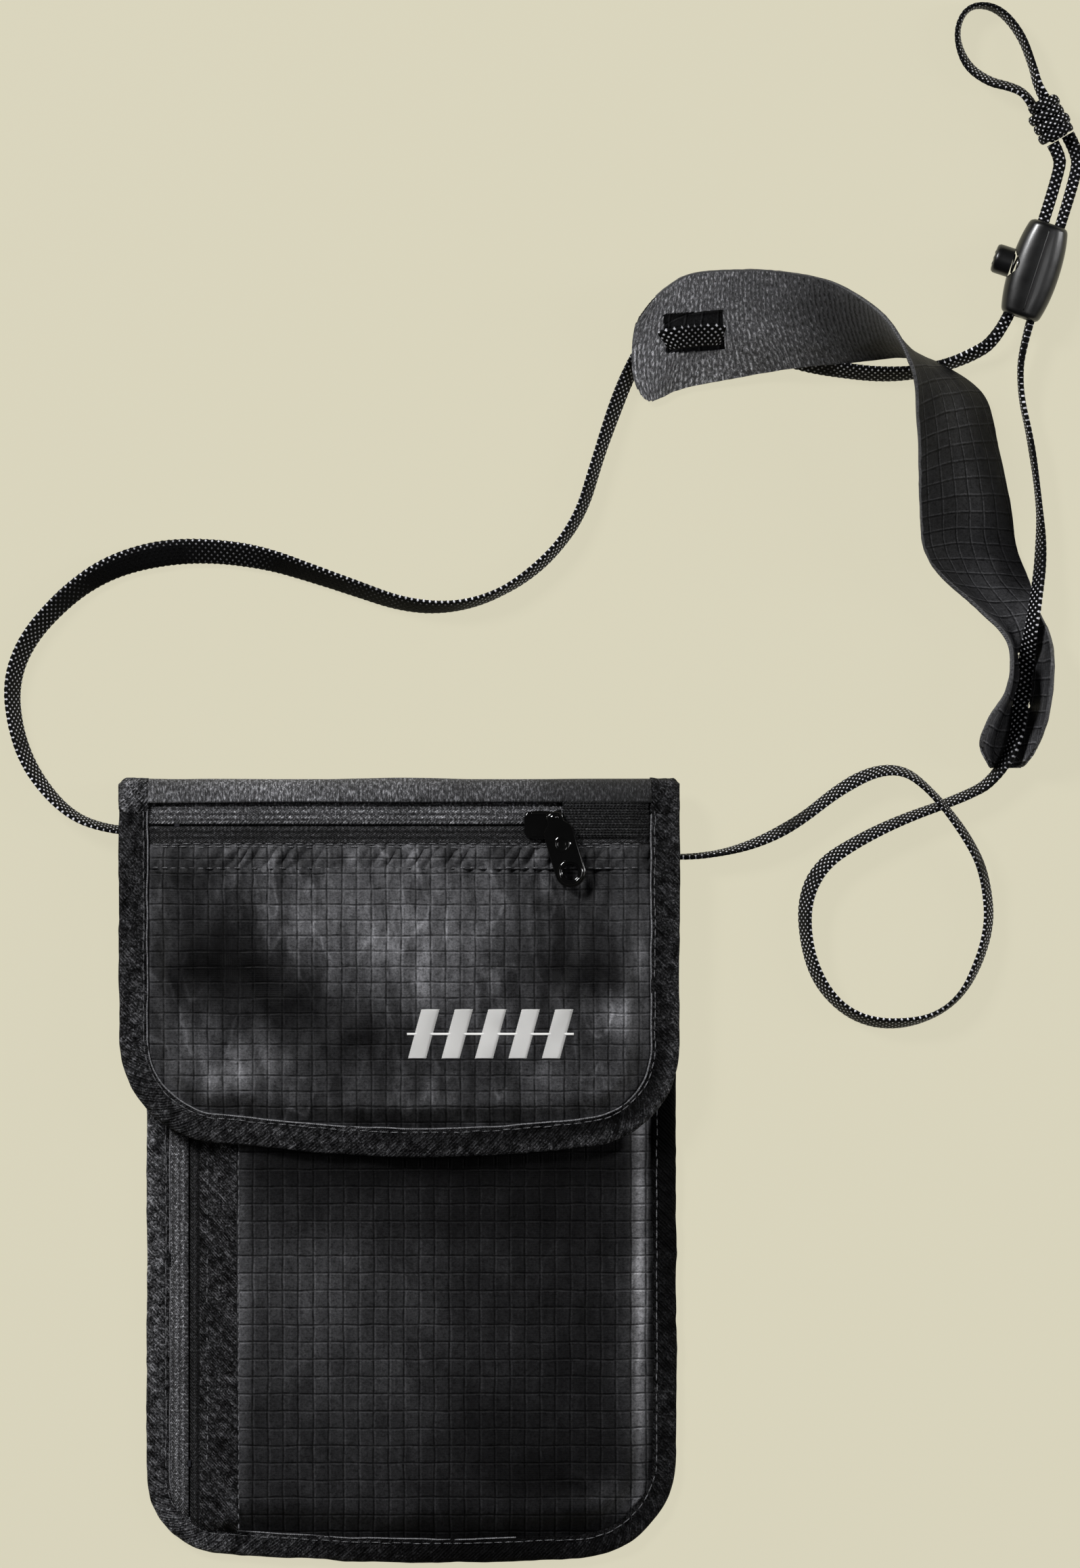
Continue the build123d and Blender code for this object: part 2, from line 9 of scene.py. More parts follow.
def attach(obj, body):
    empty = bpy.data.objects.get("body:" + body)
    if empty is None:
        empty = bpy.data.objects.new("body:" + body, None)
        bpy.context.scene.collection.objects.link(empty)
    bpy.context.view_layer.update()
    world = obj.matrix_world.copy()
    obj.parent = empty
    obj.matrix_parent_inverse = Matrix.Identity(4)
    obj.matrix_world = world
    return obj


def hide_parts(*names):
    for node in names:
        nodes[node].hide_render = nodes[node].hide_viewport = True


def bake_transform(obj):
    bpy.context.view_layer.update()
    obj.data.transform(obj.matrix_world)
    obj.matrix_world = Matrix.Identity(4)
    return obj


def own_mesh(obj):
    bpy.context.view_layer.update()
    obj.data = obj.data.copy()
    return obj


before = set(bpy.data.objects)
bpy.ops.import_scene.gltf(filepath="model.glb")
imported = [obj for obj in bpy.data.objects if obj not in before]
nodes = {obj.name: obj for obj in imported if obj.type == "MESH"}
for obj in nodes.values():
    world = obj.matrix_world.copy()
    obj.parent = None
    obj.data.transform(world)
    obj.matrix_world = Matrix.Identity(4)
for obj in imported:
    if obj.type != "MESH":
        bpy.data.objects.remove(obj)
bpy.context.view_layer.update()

MM = 0.001
TAU = 2 * math.pi

# ------------------------------------------------------------------ camera
CX, CY, CAM_H = 35.8 * MM, 98.7 * MM, 3.0
cam_data = bpy.data.cameras.new("camera")
cam = bpy.data.objects.new("camera", cam_data)
bpy.context.scene.collection.objects.link(cam)
cam.location = (CX, CY, CAM_H)
cam.rotation_euler = (0, 0, 0)
cam_data.sensor_fit = "VERTICAL"
cam_data.sensor_height = 24
cam_data.lens = 24 * (CAM_H - 0.006) / (2318 * 0.1724 * MM)
cam_data.clip_start = 0.05
cam_data.clip_end = 20
bpy.context.scene.camera = cam


# ------------------------------------------------------------------ helpers
def vnoise(x, y, cell, seed):
    """Smooth value noise from -1 to 1, one value per cell, on arrays."""
    r = np.random.default_rng(seed)
    g = r.uniform(-1, 1, (256, 256))
    x = np.asarray(x, float) / cell + 1000.0
    y = np.asarray(y, float) / cell + 1000.0
    xi, yi = np.floor(x).astype(int), np.floor(y).astype(int)
    fx, fy = x - xi, y - yi
    fx = fx * fx * fx * (fx * (fx * 6 - 15) + 10)
    fy = fy * fy * fy * (fy * (fy * 6 - 15) + 10)
    a = g[xi % 256, yi % 256]
    b = g[(xi + 1) % 256, yi % 256]
    c = g[xi % 256, (yi + 1) % 256]
    d = g[(xi + 1) % 256, (yi + 1) % 256]
    return (a * (1 - fx) + b * fx) * (1 - fy) + (c * (1 - fx) + d * fx) * fy


def sstep(a, b, x):
    t = np.clip((np.asarray(x, float) - a) / (b - a), 0, 1)
    return t * t * (3 - 2 * t)


def link(ob):
    bpy.context.scene.collection.objects.link(ob)
    return ob


def make(name, verts, faces, uvs=None, mat=None, smooth=True):
    """Mesh object from points in millimetres; uvs, also in mm, are one a vertex."""
    me = bpy.data.meshes.new(name)
    me.from_pydata([tuple(v) for v in (np.asarray(verts, float) * MM)], [], [tuple(int(i) for i in f) for f in faces])
    if uvs is not None:
        lay = me.uv_layers.new(name="UVMap")
        idx = np.zeros(len(me.loops), int)
        me.loops.foreach_get("vertex_index", idx)
        uv = np.asarray(uvs, float)[idx]
        lay.data.foreach_set("uv", uv.ravel().astype(np.float32))
    if smooth:
        me.polygons.foreach_set("use_smooth", [True] * len(me.polygons))
    me.validate()
    me.update()
    ob = link(bpy.data.objects.new(name, me))
    if mat:
        me.materials.append(mat)
    return ob


def bake(ob):
    """Applies the object's modifiers."""
    dg = bpy.context.evaluated_depsgraph_get()
    me = bpy.data.meshes.new_from_object(ob.evaluated_get(dg))
    ob.modifiers.clear()
    old = ob.data
    ob.data = me
    if old.users == 0 and isinstance(old, bpy.types.Mesh):
        bpy.data.meshes.remove(old)
    return ob


def solidify(ob, t, offset=0.0):
    m = ob.modifiers.new("s", "SOLIDIFY")
    m.thickness = t * MM
    m.offset = offset
    m.use_even_offset = False
    return bake(ob)


def auto_flat(ob, angle=35):
    ob.data.polygons.foreach_set("use_smooth", [True] * len(ob.data.polygons))
    bm = bmesh.new()
    bm.from_mesh(ob.data)
    lim = math.radians(angle)
    for e in bm.edges:
        if len(e.link_faces) == 2 and e.calc_face_angle(0) > lim:
            e.smooth = False
    bm.to_mesh(ob.data)
    bm.free()


def grid(name, P, UV, mat, t=0.5, offset=0.0, keep=None):
    """Sheet from an n by m array of points, thickened. keep marks the quads that stay."""
    n, m = P.shape[:2]
    idx = np.arange(n * m).reshape(n, m)
    a, b, c, d = idx[:-1, :-1], idx[1:, :-1], idx[1:, 1:], idx[:-1, 1:]
    q = np.stack([a, b, c, d], -1)
    if keep is not None:
        q = q[keep]
    q = q.reshape(-1, 4)
    used = np.unique(q)
    remap = -np.ones(n * m, int)
    remap[used] = np.arange(len(used))
    ob = make(name, P.reshape(-1, 3)[used], remap[q], UV.reshape(-1, 2)[used], mat)
    return solidify(ob, t, offset) if t else ob


def tube_mesh(name, rings, UV, mat, closed_path=False, caps=True):
    """Mesh through closed cross-section rings, an n by k by 3 array."""
    n, k = rings.shape[:2]
    faces = []
    last = n if closed_path else n - 1
    for i in range(last):
        j = (i + 1) % n
        for a in range(k):
            b = (a + 1) % k
            faces.append((i * k + a, i * k + b, j * k + b, j * k + a))
    if caps and not closed_path:
        faces.append(tuple(range(k - 1, -1, -1)))
        faces.append(tuple((n - 1) * k + a for a in range(k)))
    return make(name, rings.reshape(-1, 3), faces, UV.reshape(-1, 2), mat)


def join(name, obs):
    """One object from several, keeping their materials."""
    bm = bmesh.new()
    mats = []
    for o in obs:
        ms = [m for m in o.data.materials]
        base = len(bm.faces)
        me = o.data.copy()
        me.transform(o.matrix_world)
        bm.from_mesh(me)
        bm.faces.ensure_lookup_table()
        for f in bm.faces[base:]:
            m = ms[f.material_index] if ms else None
            if m is not None:
                if m not in mats:
                    mats.append(m)
                f.material_index = mats.index(m)
        bpy.data.meshes.remove(me)
    me = bpy.data.meshes.new(name)
    bm.to_mesh(me)
    bm.free()
    for m in mats:
        me.materials.append(m)
    for o in obs:
        old = o.data
        bpy.data.objects.remove(o)
        if old.users == 0:
            bpy.data.meshes.remove(old)
    return link(bpy.data.objects.new(name, me))


def put(ob, body, slot, *replaced):
    ob.data.name = ob.name
    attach(ob, body)
    if replaced:
        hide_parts(*replaced)
    return ob


# --------------------------------------------------------------- materials
class Mat:
    """Small wrapper for building a procedural material."""

    def __init__(self, name):
        self.m = bpy.data.materials.new(name)
        self.m.use_nodes = True
        self.t = self.m.node_tree
        self.p = self.t.nodes["Principled BSDF"]
        self.uv = self.t.nodes.new("ShaderNodeUVMap")
        self.uv.uv_map = "UVMap"
        s = self.t.nodes.new("ShaderNodeSeparateXYZ")
        self.t.links.new(self.uv.outputs[0], s.inputs[0])
        self.u, self.v = s.outputs[0], s.outputs[1]
        self.tc = self.t.nodes.new("ShaderNodeTexCoord")

    def set(self, **kw):
        for k, v in kw.items():
            key = k.replace("_", " ").title() if k not in self.p.inputs else k
            names = {"Base Color": "Base Color", "Sheen Weight": "Sheen Weight", "Coat Weight": "Coat Weight",
                     "Specular Ior Level": "Specular IOR Level", "Ior": "IOR", "Anisotropic": "Anisotropic"}
            key = names.get(key, key)
            self.p.inputs[key].default_value = v if not isinstance(v, tuple) else (*v, 1)[:4]
        return self

    def val(self, x):
        return x

    def math(self, op, a, b=0.0, c=None, clamp=False):
        n = self.t.nodes.new("ShaderNodeMath")
        n.operation = op
        n.use_clamp = clamp
        for i, x in enumerate([a, b] + ([c] if c is not None else [])):
            if isinstance(x, (int, float)):
                n.inputs[i].default_value = x
            else:
                self.t.links.new(x, n.inputs[i])
        return n.outputs[0]

    def noise(self, scale, detail=3.0, rough=0.55, coord="uv", stretch=(1, 1, 1)):
        n = self.t.nodes.new("ShaderNodeTexNoise")
        n.inputs["Scale"].default_value = scale
        n.inputs["Detail"].default_value = detail
        n.inputs["Roughness"].default_value = rough
        mp = self.t.nodes.new("ShaderNodeMapping")
        mp.inputs["Scale"].default_value = stretch
        src = self.uv.outputs[0] if coord == "uv" else self.tc.outputs["Object"]
        self.t.links.new(src, mp.inputs[0])
        self.t.links.new(mp.outputs[0], n.inputs["Vector"])
        return n.outputs["Fac"]

    def wave(self, x, period, phase=0.0):
        """0..1 sine of x over period."""
        s = self.math("SINE", self.math("MULTIPLY_ADD", x, TAU / period, phase))
        return self.math("MULTIPLY_ADD", s, 0.5, 0.5)

    def line(self, x, period, width, soft=0.25):
        """1 on a line of that width every period."""
        f = self.math("FRACT", self.math("DIVIDE", x, period))
        d = self.math("ABSOLUTE", self.math("SUBTRACT", f, 0.5))
        d = self.math("MULTIPLY", d, period)
        n = self.t.nodes.new("ShaderNodeMapRange")
        n.interpolation_type = "SMOOTHSTEP"
        self.t.links.new(d, n.inputs["Value"])
        n.inputs["From Min"].default_value = width / 2
        n.inputs["From Max"].default_value = width / 2 + soft
        n.inputs["To Min"].default_value = 1
        n.inputs["To Max"].default_value = 0
        return n.outputs[0]

    def blob(self, cx, cy, rx, ry):
        """Soft spot, 1 in its middle, over u and v."""
        a = self.math("POWER", self.math("ABSOLUTE", self.math("MULTIPLY_ADD", self.u, 1 / rx, -cx / rx)), 2.0)
        b = self.math("POWER", self.math("ABSOLUTE", self.math("MULTIPLY_ADD", self.v, 1 / ry, -cy / ry)), 2.0)
        return self.math("EXPONENT", self.math("MULTIPLY", self.math("ADD", a, b), -1.0))

    def gain(self, col, f):
        """A colour multiplied by a factor."""
        n = self.t.nodes.new("ShaderNodeVectorMath")
        n.operation = "SCALE"
        self.t.links.new(col, n.inputs[0])
        if isinstance(f, (int, float)):
            n.inputs[3].default_value = f
        else:
            self.t.links.new(f, n.inputs[3])
        return n.outputs[0]

    def remap(self, x, a, b, c, d, clamp=True):
        n = self.t.nodes.new("ShaderNodeMapRange")
        n.clamp = clamp
        self.t.links.new(x, n.inputs["Value"])
        for k, v in zip(("From Min", "From Max", "To Min", "To Max"), (a, b, c, d)):
            n.inputs[k].default_value = v
        return n.outputs[0]

    def mixc(self, fac, c1, c2):
        n = self.t.nodes.new("ShaderNodeMix")
        n.data_type = "RGBA"
        if isinstance(fac, (int, float)):
            n.inputs[0].default_value = fac
        else:
            self.t.links.new(fac, n.inputs[0])
        for i, c in ((6, c1), (7, c2)):
            if isinstance(c, tuple):
                n.inputs[i].default_value = (*c, 1)
            else:
                self.t.links.new(c, n.inputs[i])
        return n.outputs[2]

    def color(self, out):
        self.t.links.new(out, self.p.inputs["Base Color"])
        return self

    def rough(self, out):
        self.t.links.new(out, self.p.inputs["Roughness"])
        return self

    def bump(self, height, dist=0.2, strength=1.0):
        n = self.t.nodes.new("ShaderNodeBump")
        n.inputs["Strength"].default_value = strength
        n.inputs["Distance"].default_value = dist * MM
        self.t.links.new(height, n.inputs["Height"])
        self.t.links.new(n.outputs[0], self.p.inputs["Normal"])
        return self


def g3(v, blue=1.06):
    return (v, v, v * blue)


def ripstop(name, px, py, base=0.016, ox=0.0, oy=0.0, painted_light_spots=(), light=2.6, spec=1.0, lines=0.5, painted_crease_light=0.0):
    """Coated ripstop: dark reinforcing threads in a grid over a fine plain weave.
    The spots are soft areas (x, y, rx, ry, gain) of painted highlight (gain above 0) and painted shade (gain below 0)."""
    m = Mat(name)
    u = m.math("ADD", m.u, m.math("MULTIPLY_ADD", m.noise(0.09, 2.0, 0.5), 0.9, ox))
    v = m.math("ADD", m.v, m.math("MULTIPLY_ADD", m.noise(0.08, 2.0, 0.5, stretch=(1.3, 1, 1)), 0.9, oy))
    lx = m.line(u, px, 0.14, 0.26)
    ly = m.line(v, py, 0.14, 0.26)
    vary = m.remap(m.noise(0.42, 3.0, 0.65), 0.36, 0.62, lines * 0.7, min(1.0, lines * 2))
    dark = m.math("MULTIPLY", m.math("MAXIMUM", lx, ly), vary)
    # ex and ey paint a highlight beside one side of each grid thread, as if its raised flank caught the light; the
    # light setting gives its brightness
    ex = m.line(m.math("ADD", u, -0.48), px, 0.1, 0.28)
    ey = m.line(m.math("ADD", v, 0.48), py, 0.1, 0.28)
    edge = m.math("MAXIMUM", ex, ey)
    weave = m.math("MULTIPLY", m.wave(m.u, 0.55), m.wave(m.v, 0.55))
    fine = m.noise(1.9, 5.0, 0.8)
    mid = m.noise(0.55, 4.0, 0.65)
    big = m.noise(0.06, 3.0, 0.55)
    tone = m.remap(big, 0.35, 0.65, 0.75, 1.3)
    # painted highlight and painted shade: each spot scales the colour up or down
    for sp in painted_light_spots:
        tone = m.math("MULTIPLY", tone, m.math("MULTIPLY_ADD", m.blob(*sp[:4]), sp[4], 1.0))
    if painted_crease_light:
        # painted shade and painted highlight in streaks that run down from the seam, and thin painted highlights along
        # creases
        run = m.remap(m.noise(0.17, 3.0, 0.55, stretch=(1.5, 0.4, 1)), 0.38, 0.62, 1.0 - 0.45 * painted_crease_light, 1.0 + 0.55 * painted_crease_light)
        tone = m.math("MULTIPLY", tone, run)
        off = m.math("ABSOLUTE", m.math("SUBTRACT", m.noise(0.075, 2.0, 0.5, stretch=(1.1, 0.55, 1)), 0.5))
        thin = m.math("MULTIPLY", m.remap(off, 0.0, 0.03, 1.0, 0.0), m.remap(m.noise(0.045, 2.0, 0.5), 0.42, 0.56, 0.0, 1.0))
        tone = m.math("MULTIPLY", tone, m.math("MULTIPLY_ADD", thin, 1.1 * painted_crease_light, 1.0))
    col = m.mixc(m.remap(fine, 0.3, 0.72, 0, 1), g3(base * 0.25), g3(base * 1.9))
    col = m.mixc(m.remap(mid, 0.4, 0.7, 0, 0.35), col, g3(base * 1.9))
    col = m.mixc(m.math("MULTIPLY", edge, m.remap(fine, 0.35, 0.6, 0.1, 0.7)), col, g3(base * light))
    lump = m.noise(0.9, 4.0, 0.75)
    col = m.mixc(m.remap(lump, 0.36, 0.5, 0.6, 0.0), col, g3(base * 0.2))
    col = m.mixc(m.math("MULTIPLY", dark, 0.88), col, g3(base * 0.06))
    m.color(m.gain(col, tone))
    m.rough(m.remap(fine, 0.25, 0.75, 0.40, 0.58))
    m.p.inputs["Specular IOR Level"].default_value = 0.05 * spec
    h = m.math("ADD", m.math("MULTIPLY", weave, 0.3), m.math("MULTIPLY", fine, 0.8))
    h = m.math("SUBTRACT", h, m.math("MULTIPLY", dark, 0.8))
    h = m.math("ADD", h, m.math("MULTIPLY", edge, 0.5))
    m.bump(h, 0.12, 0.9)
    return m.m


def tones(m, painted_light_spots, base=None):
    """Product of a base tone and soft areas of painted highlight and painted shade."""
    tone = base or m.remap(m.noise(0.07, 3.0, 0.55), 0.35, 0.65, 0.75, 1.3)
    for sp in painted_light_spots:
        tone = m.math("MULTIPLY", tone, m.math("MULTIPLY_ADD", m.blob(*sp[:4]), sp[4], 1.0))
    return tone


def speck(m, fine, tone, lo, mid, hi, a=0.4, b=0.51, c=0.64):
    """Colour from fine noise: lo below a, mid at b, hi above c."""
    col = m.mixc(m.remap(fine, a, b, 0, 1), g3(lo), g3(mid))
    col = m.mixc(m.remap(fine, b, c, 0, 1), col, g3(hi))
    return m.gain(col, tone)


def g3node(m, v):
    """A constant colour as a node."""
    n = m.t.nodes.new("ShaderNodeRGB")
    n.outputs[0].default_value = (*g3(v), 1)
    return n.outputs[0]


def twill(name, base=0.014, pitch=0.95, fleck=0.5, painted_light_spots=()):
    """Woven binding tape: fine diagonal ribs crossed by scattered light threads."""
    m = Mat(name)
    tone = tones(m, ())
    diag = m.wave(m.math("ADD", m.u, m.math("MULTIPLY", m.v, 0.9)), pitch)
    cross = m.wave(m.math("SUBTRACT", m.u, m.math("MULTIPLY", m.v, 0.8)), pitch * 1.6)
    fine = m.noise(1.7, 5.0, 0.8)
    clump = m.noise(0.5, 4.0, 0.7)
    tone = m.math("MULTIPLY", tone, m.remap(m.noise(0.28, 5.0, 0.75), 0.38, 0.64, 0.12, 2.1))
    col = speck(m, fine, tone, base * 0.04, base * 0.7, base * 6.0, 0.4, 0.54, 0.68)
    warp = m.math("MULTIPLY_ADD", m.noise(0.5, 3.0, 0.6), 1.6, m.u)
    rib = m.wave(m.math("ADD", warp, m.math("MULTIPLY", m.v, 1.1)), 2.9)
    col = m.mixc(m.math("MULTIPLY", m.remap(rib, 0.0, 0.3, 1, 0), 0.4), col, g3(base * 0.1))
    col = m.mixc(m.math("MULTIPLY", m.math("MULTIPLY", m.remap(rib, 0.86, 1.0, 0, 1), m.remap(clump, 0.47, 0.62, 0, 1)), 0.32), col, m.gain(g3node(m, base * 7), tone))
    thr = m.math("MULTIPLY", m.math("MULTIPLY", m.remap(diag, 0.72, 0.98, 0, 1), m.remap(clump, 0.5, 0.68, 0, 1)), fleck)
    col = m.mixc(thr, col, g3(base * 9))
    thr2 = m.math("MULTIPLY", m.math("MULTIPLY", m.remap(cross, 0.8, 0.99, 0, 1), m.remap(clump, 0.53, 0.7, 0, 1)), fleck * 0.8)
    col = m.mixc(thr2, col, g3(base * 8))
    # the spots paint highlight and shade areas into the final colour
    m.color(m.gain(col, tones(m, painted_light_spots, m.math("ADD", 1.0, 0.0))))
    m.rough(m.remap(fine, 0.2, 0.8, 0.45, 0.8))
    m.p.inputs["Specular IOR Level"].default_value = 0.05
    h = m.math("ADD", m.math("MULTIPLY", diag, 0.8), m.math("MULTIPLY", fine, 1.4))
    h = m.math("ADD", h, m.math("MULTIPLY", clump, 2.4))
    h = m.math("ADD", h, m.math("MULTIPLY", rib, 0.9))
    m.bump(h, 0.22, 1.0)
    return m.m


def knit(name, base=0.018, rib=0.55, along="u", sheen=0.05, painted_light_spots=(), stripe=0.4):
    """Soft brushed knit with fine ribs across."""
    m = Mat(name)
    # the spots paint highlight and shade areas into the colour
    tone = tones(m, painted_light_spots)
    axis = m.u if along == "u" else m.v
    wob = m.math("MULTIPLY_ADD", m.noise(0.6, 3.0, 0.6), 1.2, axis)
    ribs = m.wave(wob, rib)
    fine = m.noise(1.7, 5.0, 0.8, stretch=(1, 0.4, 1) if along == "u" else (0.4, 1, 1))
    col = speck(m, fine, tone, base * 0.12, base * 0.8, base * 4.2)
    col = m.mixc(m.math("MULTIPLY", m.math("SUBTRACT", 1.0, ribs), stripe), col, g3(base * 0.25))
    m.color(col)
    m.rough(m.remap(fine, 0.2, 0.8, 0.6, 0.9))
    m.p.inputs["Specular IOR Level"].default_value = 0.2
    h = m.math("ADD", m.math("MULTIPLY", ribs, 0.6), m.math("MULTIPLY", fine, 1.4))
    m.bump(h, 0.2, 1.0)
    m.p.inputs["Sheen Weight"].default_value = sheen
    m.p.inputs["Sheen Roughness"].default_value = 0.4
    return m.m


def ziptape(name, base=0.017, painted_light_spots=(), rows=1.5):
    """Woven zip tape: herringbone rows along the tape (v runs along it)."""
    m = Mat(name)
    tone = tones(m, painted_light_spots)
    row = m.math("ABSOLUTE", m.math("SUBTRACT", m.math("FRACT", m.math("DIVIDE", m.u, rows)), 0.5))
    chev = m.wave(m.math("ADD", m.v, m.math("MULTIPLY", row, 2.6)), 0.85)
    fine = m.noise(1.5, 5.0, 0.85)
    tone = m.math("MULTIPLY", tone, m.remap(m.wave(m.u, 1.5, 0.6), 0.0, 1.0, 0.45, 1.4))
    col = speck(m, fine, tone, base * 0.05, base * 0.8, base * 6.5, 0.4, 0.53, 0.66)
    col = m.mixc(m.math("MULTIPLY", m.math("SUBTRACT", 1.0, chev), 0.55), col, g3(base * 0.15))
    m.color(col)
    m.rough(m.remap(fine, 0.2, 0.8, 0.36, 0.6))
    m.p.inputs["Specular IOR Level"].default_value = 0.2
    h = m.math("ADD", m.math("MULTIPLY", chev, 1.0), m.math("MULTIPLY", fine, 1.2))
    m.bump(h, 0.2, 1.0)
    return m.m


def braid(name, base=0.0035, dark=()):
    """Flat braid: interlaced strands in rows of lit picks (v runs along it).
    dark are stretches (v middle, half length) where only the outer row is lit."""
    m = Mat(name)
    a = m.wave(m.math("ADD", m.v, m.math("MULTIPLY", m.u, 0.85)), 1.6)
    b = m.wave(m.math("SUBTRACT", m.v, m.math("MULTIPLY", m.u, 0.85)), 1.6, 1.4)
    pick = m.math("MULTIPLY", m.remap(a, 0.5, 0.86, 0, 1), m.remap(b, 0.5, 0.86, 0, 1))
    fine = m.noise(2.6, 4.0, 0.8)
    run = m.remap(m.noise(0.05, 3.0, 0.6, stretch=(0.3, 1, 1)), 0.34, 0.5, 0.18, 1.0)
    outer = m.remap(m.u, 1.9, 2.5, 0.0, 1.0)
    for c, h in dark:
        hide = m.math("SUBTRACT", 1.0, m.math("MULTIPLY", m.blob(0.0, c, 400.0, h), 1.15), clamp=True)
        run = m.math("MULTIPLY", run, m.math("MAXIMUM", hide, m.math("MULTIPLY", outer, 0.9)))
    lit = m.math("MULTIPLY", m.math("MULTIPLY", pick, run), m.remap(fine, 0.33, 0.5, 0.25, 1.0))
    col = m.mixc(m.remap(fine, 0.35, 0.7, 0, 1), g3(base * 0.12), g3(base * 1.6))
    col = m.mixc(lit, col, g3(0.95))
    m.color(col)
    m.rough(m.remap(fine, 0.2, 0.8, 0.42, 0.62))
    h = m.math("ADD", m.math("MULTIPLY", pick, 1.3), m.math("MULTIPLY", fine, 0.5))
    m.bump(h, 0.25, 1.0)
    m.p.inputs["Specular IOR Level"].default_value = 0.05
    return m.m


def moulded(name, base=0.0045, r0=0.12, r1=0.3, coat=0.4):
    m = Mat(name)
    n1 = m.noise(900.0, 3.0, 0.6, coord="obj")
    n2 = m.noise(120.0, 4.0, 0.6, coord="obj")
    m.color(m.mixc(m.remap(n2, 0.3, 0.7, 0, 1), g3(base * 0.5), g3(base * 1.3)))
    m.rough(m.remap(n2, 0.25, 0.75, r0, r1))
    m.bump(m.math("ADD", m.math("MULTIPLY", n1, 0.3), n2), 0.03, 0.8)
    m.p.inputs["Coat Weight"].default_value = coat
    m.p.inputs["Coat Roughness"].default_value = 0.08
    return m.m


def simple_thread(name, c0, c1, rough=0.45, freq=6.0):
    m = Mat(name)
    fine = m.noise(freq, 3.0, 0.6)
    tw = m.wave(m.math("ADD", m.u, m.v), 0.5)
    m.color(m.mixc(m.remap(fine, 0.3, 0.7, 0, 1), c0, c1))
    m.rough(m.remap(fine, 0.2, 0.8, rough - 0.12, rough + 0.12))
    m.bump(m.math("ADD", tw, fine), 0.08, 0.8)
    return m.m


def steel(name):
    m = Mat(name)
    n = m.noise(600.0, 3.0, 0.6, coord="obj")
    m.color(m.mixc(n, g3(0.35, 1.0), g3(0.6, 1.0)))
    m.rough(m.remap(n, 0.2, 0.8, 0.2, 0.4))
    m.bump(n, 0.02, 0.5)
    m.p.inputs["Metallic"].default_value = 1.0
    return m.m


# The body's spots paint highlights (a narrow strip inside the right seam, the panel's left edge, patches on its face)
# and painted shade (the flap's shadow below its edge, darker areas toward the lower right and the bottom); the streak
# setting adds painted streaks and thin painted highlights along creases.
M_RIP = ripstop("ripstop_body", 3.85, 4.4, 0.0165, ox=0.4, oy=1.2, lines=0.8, light=3.0, painted_crease_light=0.35, painted_light_spots=(
    (-24, -26, 20, 26, 0.9), (-6, -46, 16, 26, 0.35), (61.2, -4, 1.5, 70, 14.0), (59, -30, 3.6, 60, 0.9), (56, -84, 7, 5, 2.2), (10, 2, 90, 11, -0.93),
    (44, -36, 20, 46, -0.6), (20, -40, 9, 60, -0.3), (34, -76, 36, 18, -0.62), (-40.5, -30, 2.0, 66, 1.8), (20, -96, 70, 6, -0.7), (10, -13, 70, 7, -0.5),
    (-36, -78, 14, 20, -0.3)))
# The flap's ripstop has a lighter base than the body's same ripstop, which is painted light; its spots paint highlights
# on the folds (centre-left top, lower left, the right edge) and painted shade (a diagonal band on the left, areas on
# the right, along the bottom); the streak setting adds painted streaks and thin painted highlights along creases.
M_RIPF = ripstop("ripstop_flap", 3.77, 3.95, 0.042, ox=1.0, oy=0.6, lines=0.7, light=2.3, spec=1.5, painted_crease_light=0.85, painted_light_spots=(
    (-14, 62, 17, 17, 1.0), (6, 58, 13, 20, 0.7), (-46, 62, 15, 9, -0.72), (-38, 52, 17, 9, -0.88), (-26, 43, 18, 9, -0.86), (-8, 34, 18, 9, -0.72),
    (-50, 51, 14, 11, -0.9), (-50, 32, 9, 8, 0.0), (-42, 24, 11, 8, 0.6), (-14, 20, 20, 9, -0.3), (50, 72, 16, 14, -0.65), (34, 66, 7, 10, -0.3),
    (42, 51, 19, 9, -0.75), (50, 51, 10, 8, -0.7), (24, 30, 40, 14, -0.45), (-54, 75, 13, 6, -0.7), (58, 40, 7, 4, 2.4), (60, 52, 4, 7, 1.0), (10, 10, 70, 6, -0.45), (9, 49, 4, 11, 0.8), (20, 60, 6, 9, 0.5)))
# The band's spots paint a highlight strip with a shaded strip beside it, and a strong painted highlight further along.
M_RIPB = ripstop("ripstop_band", 4.6, 4.4, 0.0135, painted_light_spots=((17, 118, 6, 34, 0.9), (31, 120, 8, 60, -0.6), (10, 176, 30, 24, 4.5)), spec=0.9, lines=0.5, light=4.2)
# The body binding's spots paint shade over the right and bottom runs and highlights on the left run and along its inner
# edge.
M_TWILL = twill("twill_tape", 0.030, painted_light_spots=((3, 420, 60, 120, -0.985), (3, 268, 60, 58, -0.95), (3, 192, 40, 15, 0.8), (6.5, 80, 2.4, 90, 0.9), (3, 120, 60, 60, 0.75)))
# The flap binding's spots paint shade along its outer part and a highlight along its inner part on the lower run, and
# highlights on the left run.
M_TWILLF = twill("twill_tape_flap", 0.022, painted_light_spots=((2, 200, 3.2, 75, -0.82), (6.6, 200, 2.0, 75, 0.35), (4, 60, 8, 18, 0.7), (4, 120, 8, 20, 0.3)))
# copy of the binding tape with a painted highlight patch, used on the left fold binding
M_TWILL_PAINTED_HIGHLIGHT = twill("twill_tape_corner_painted_highlight", 0.022, painted_light_spots=((4, 24, 5, 9, 3.2),))
M_STRIP = twill("twill_strip", 0.026, 0.8, 0.6)
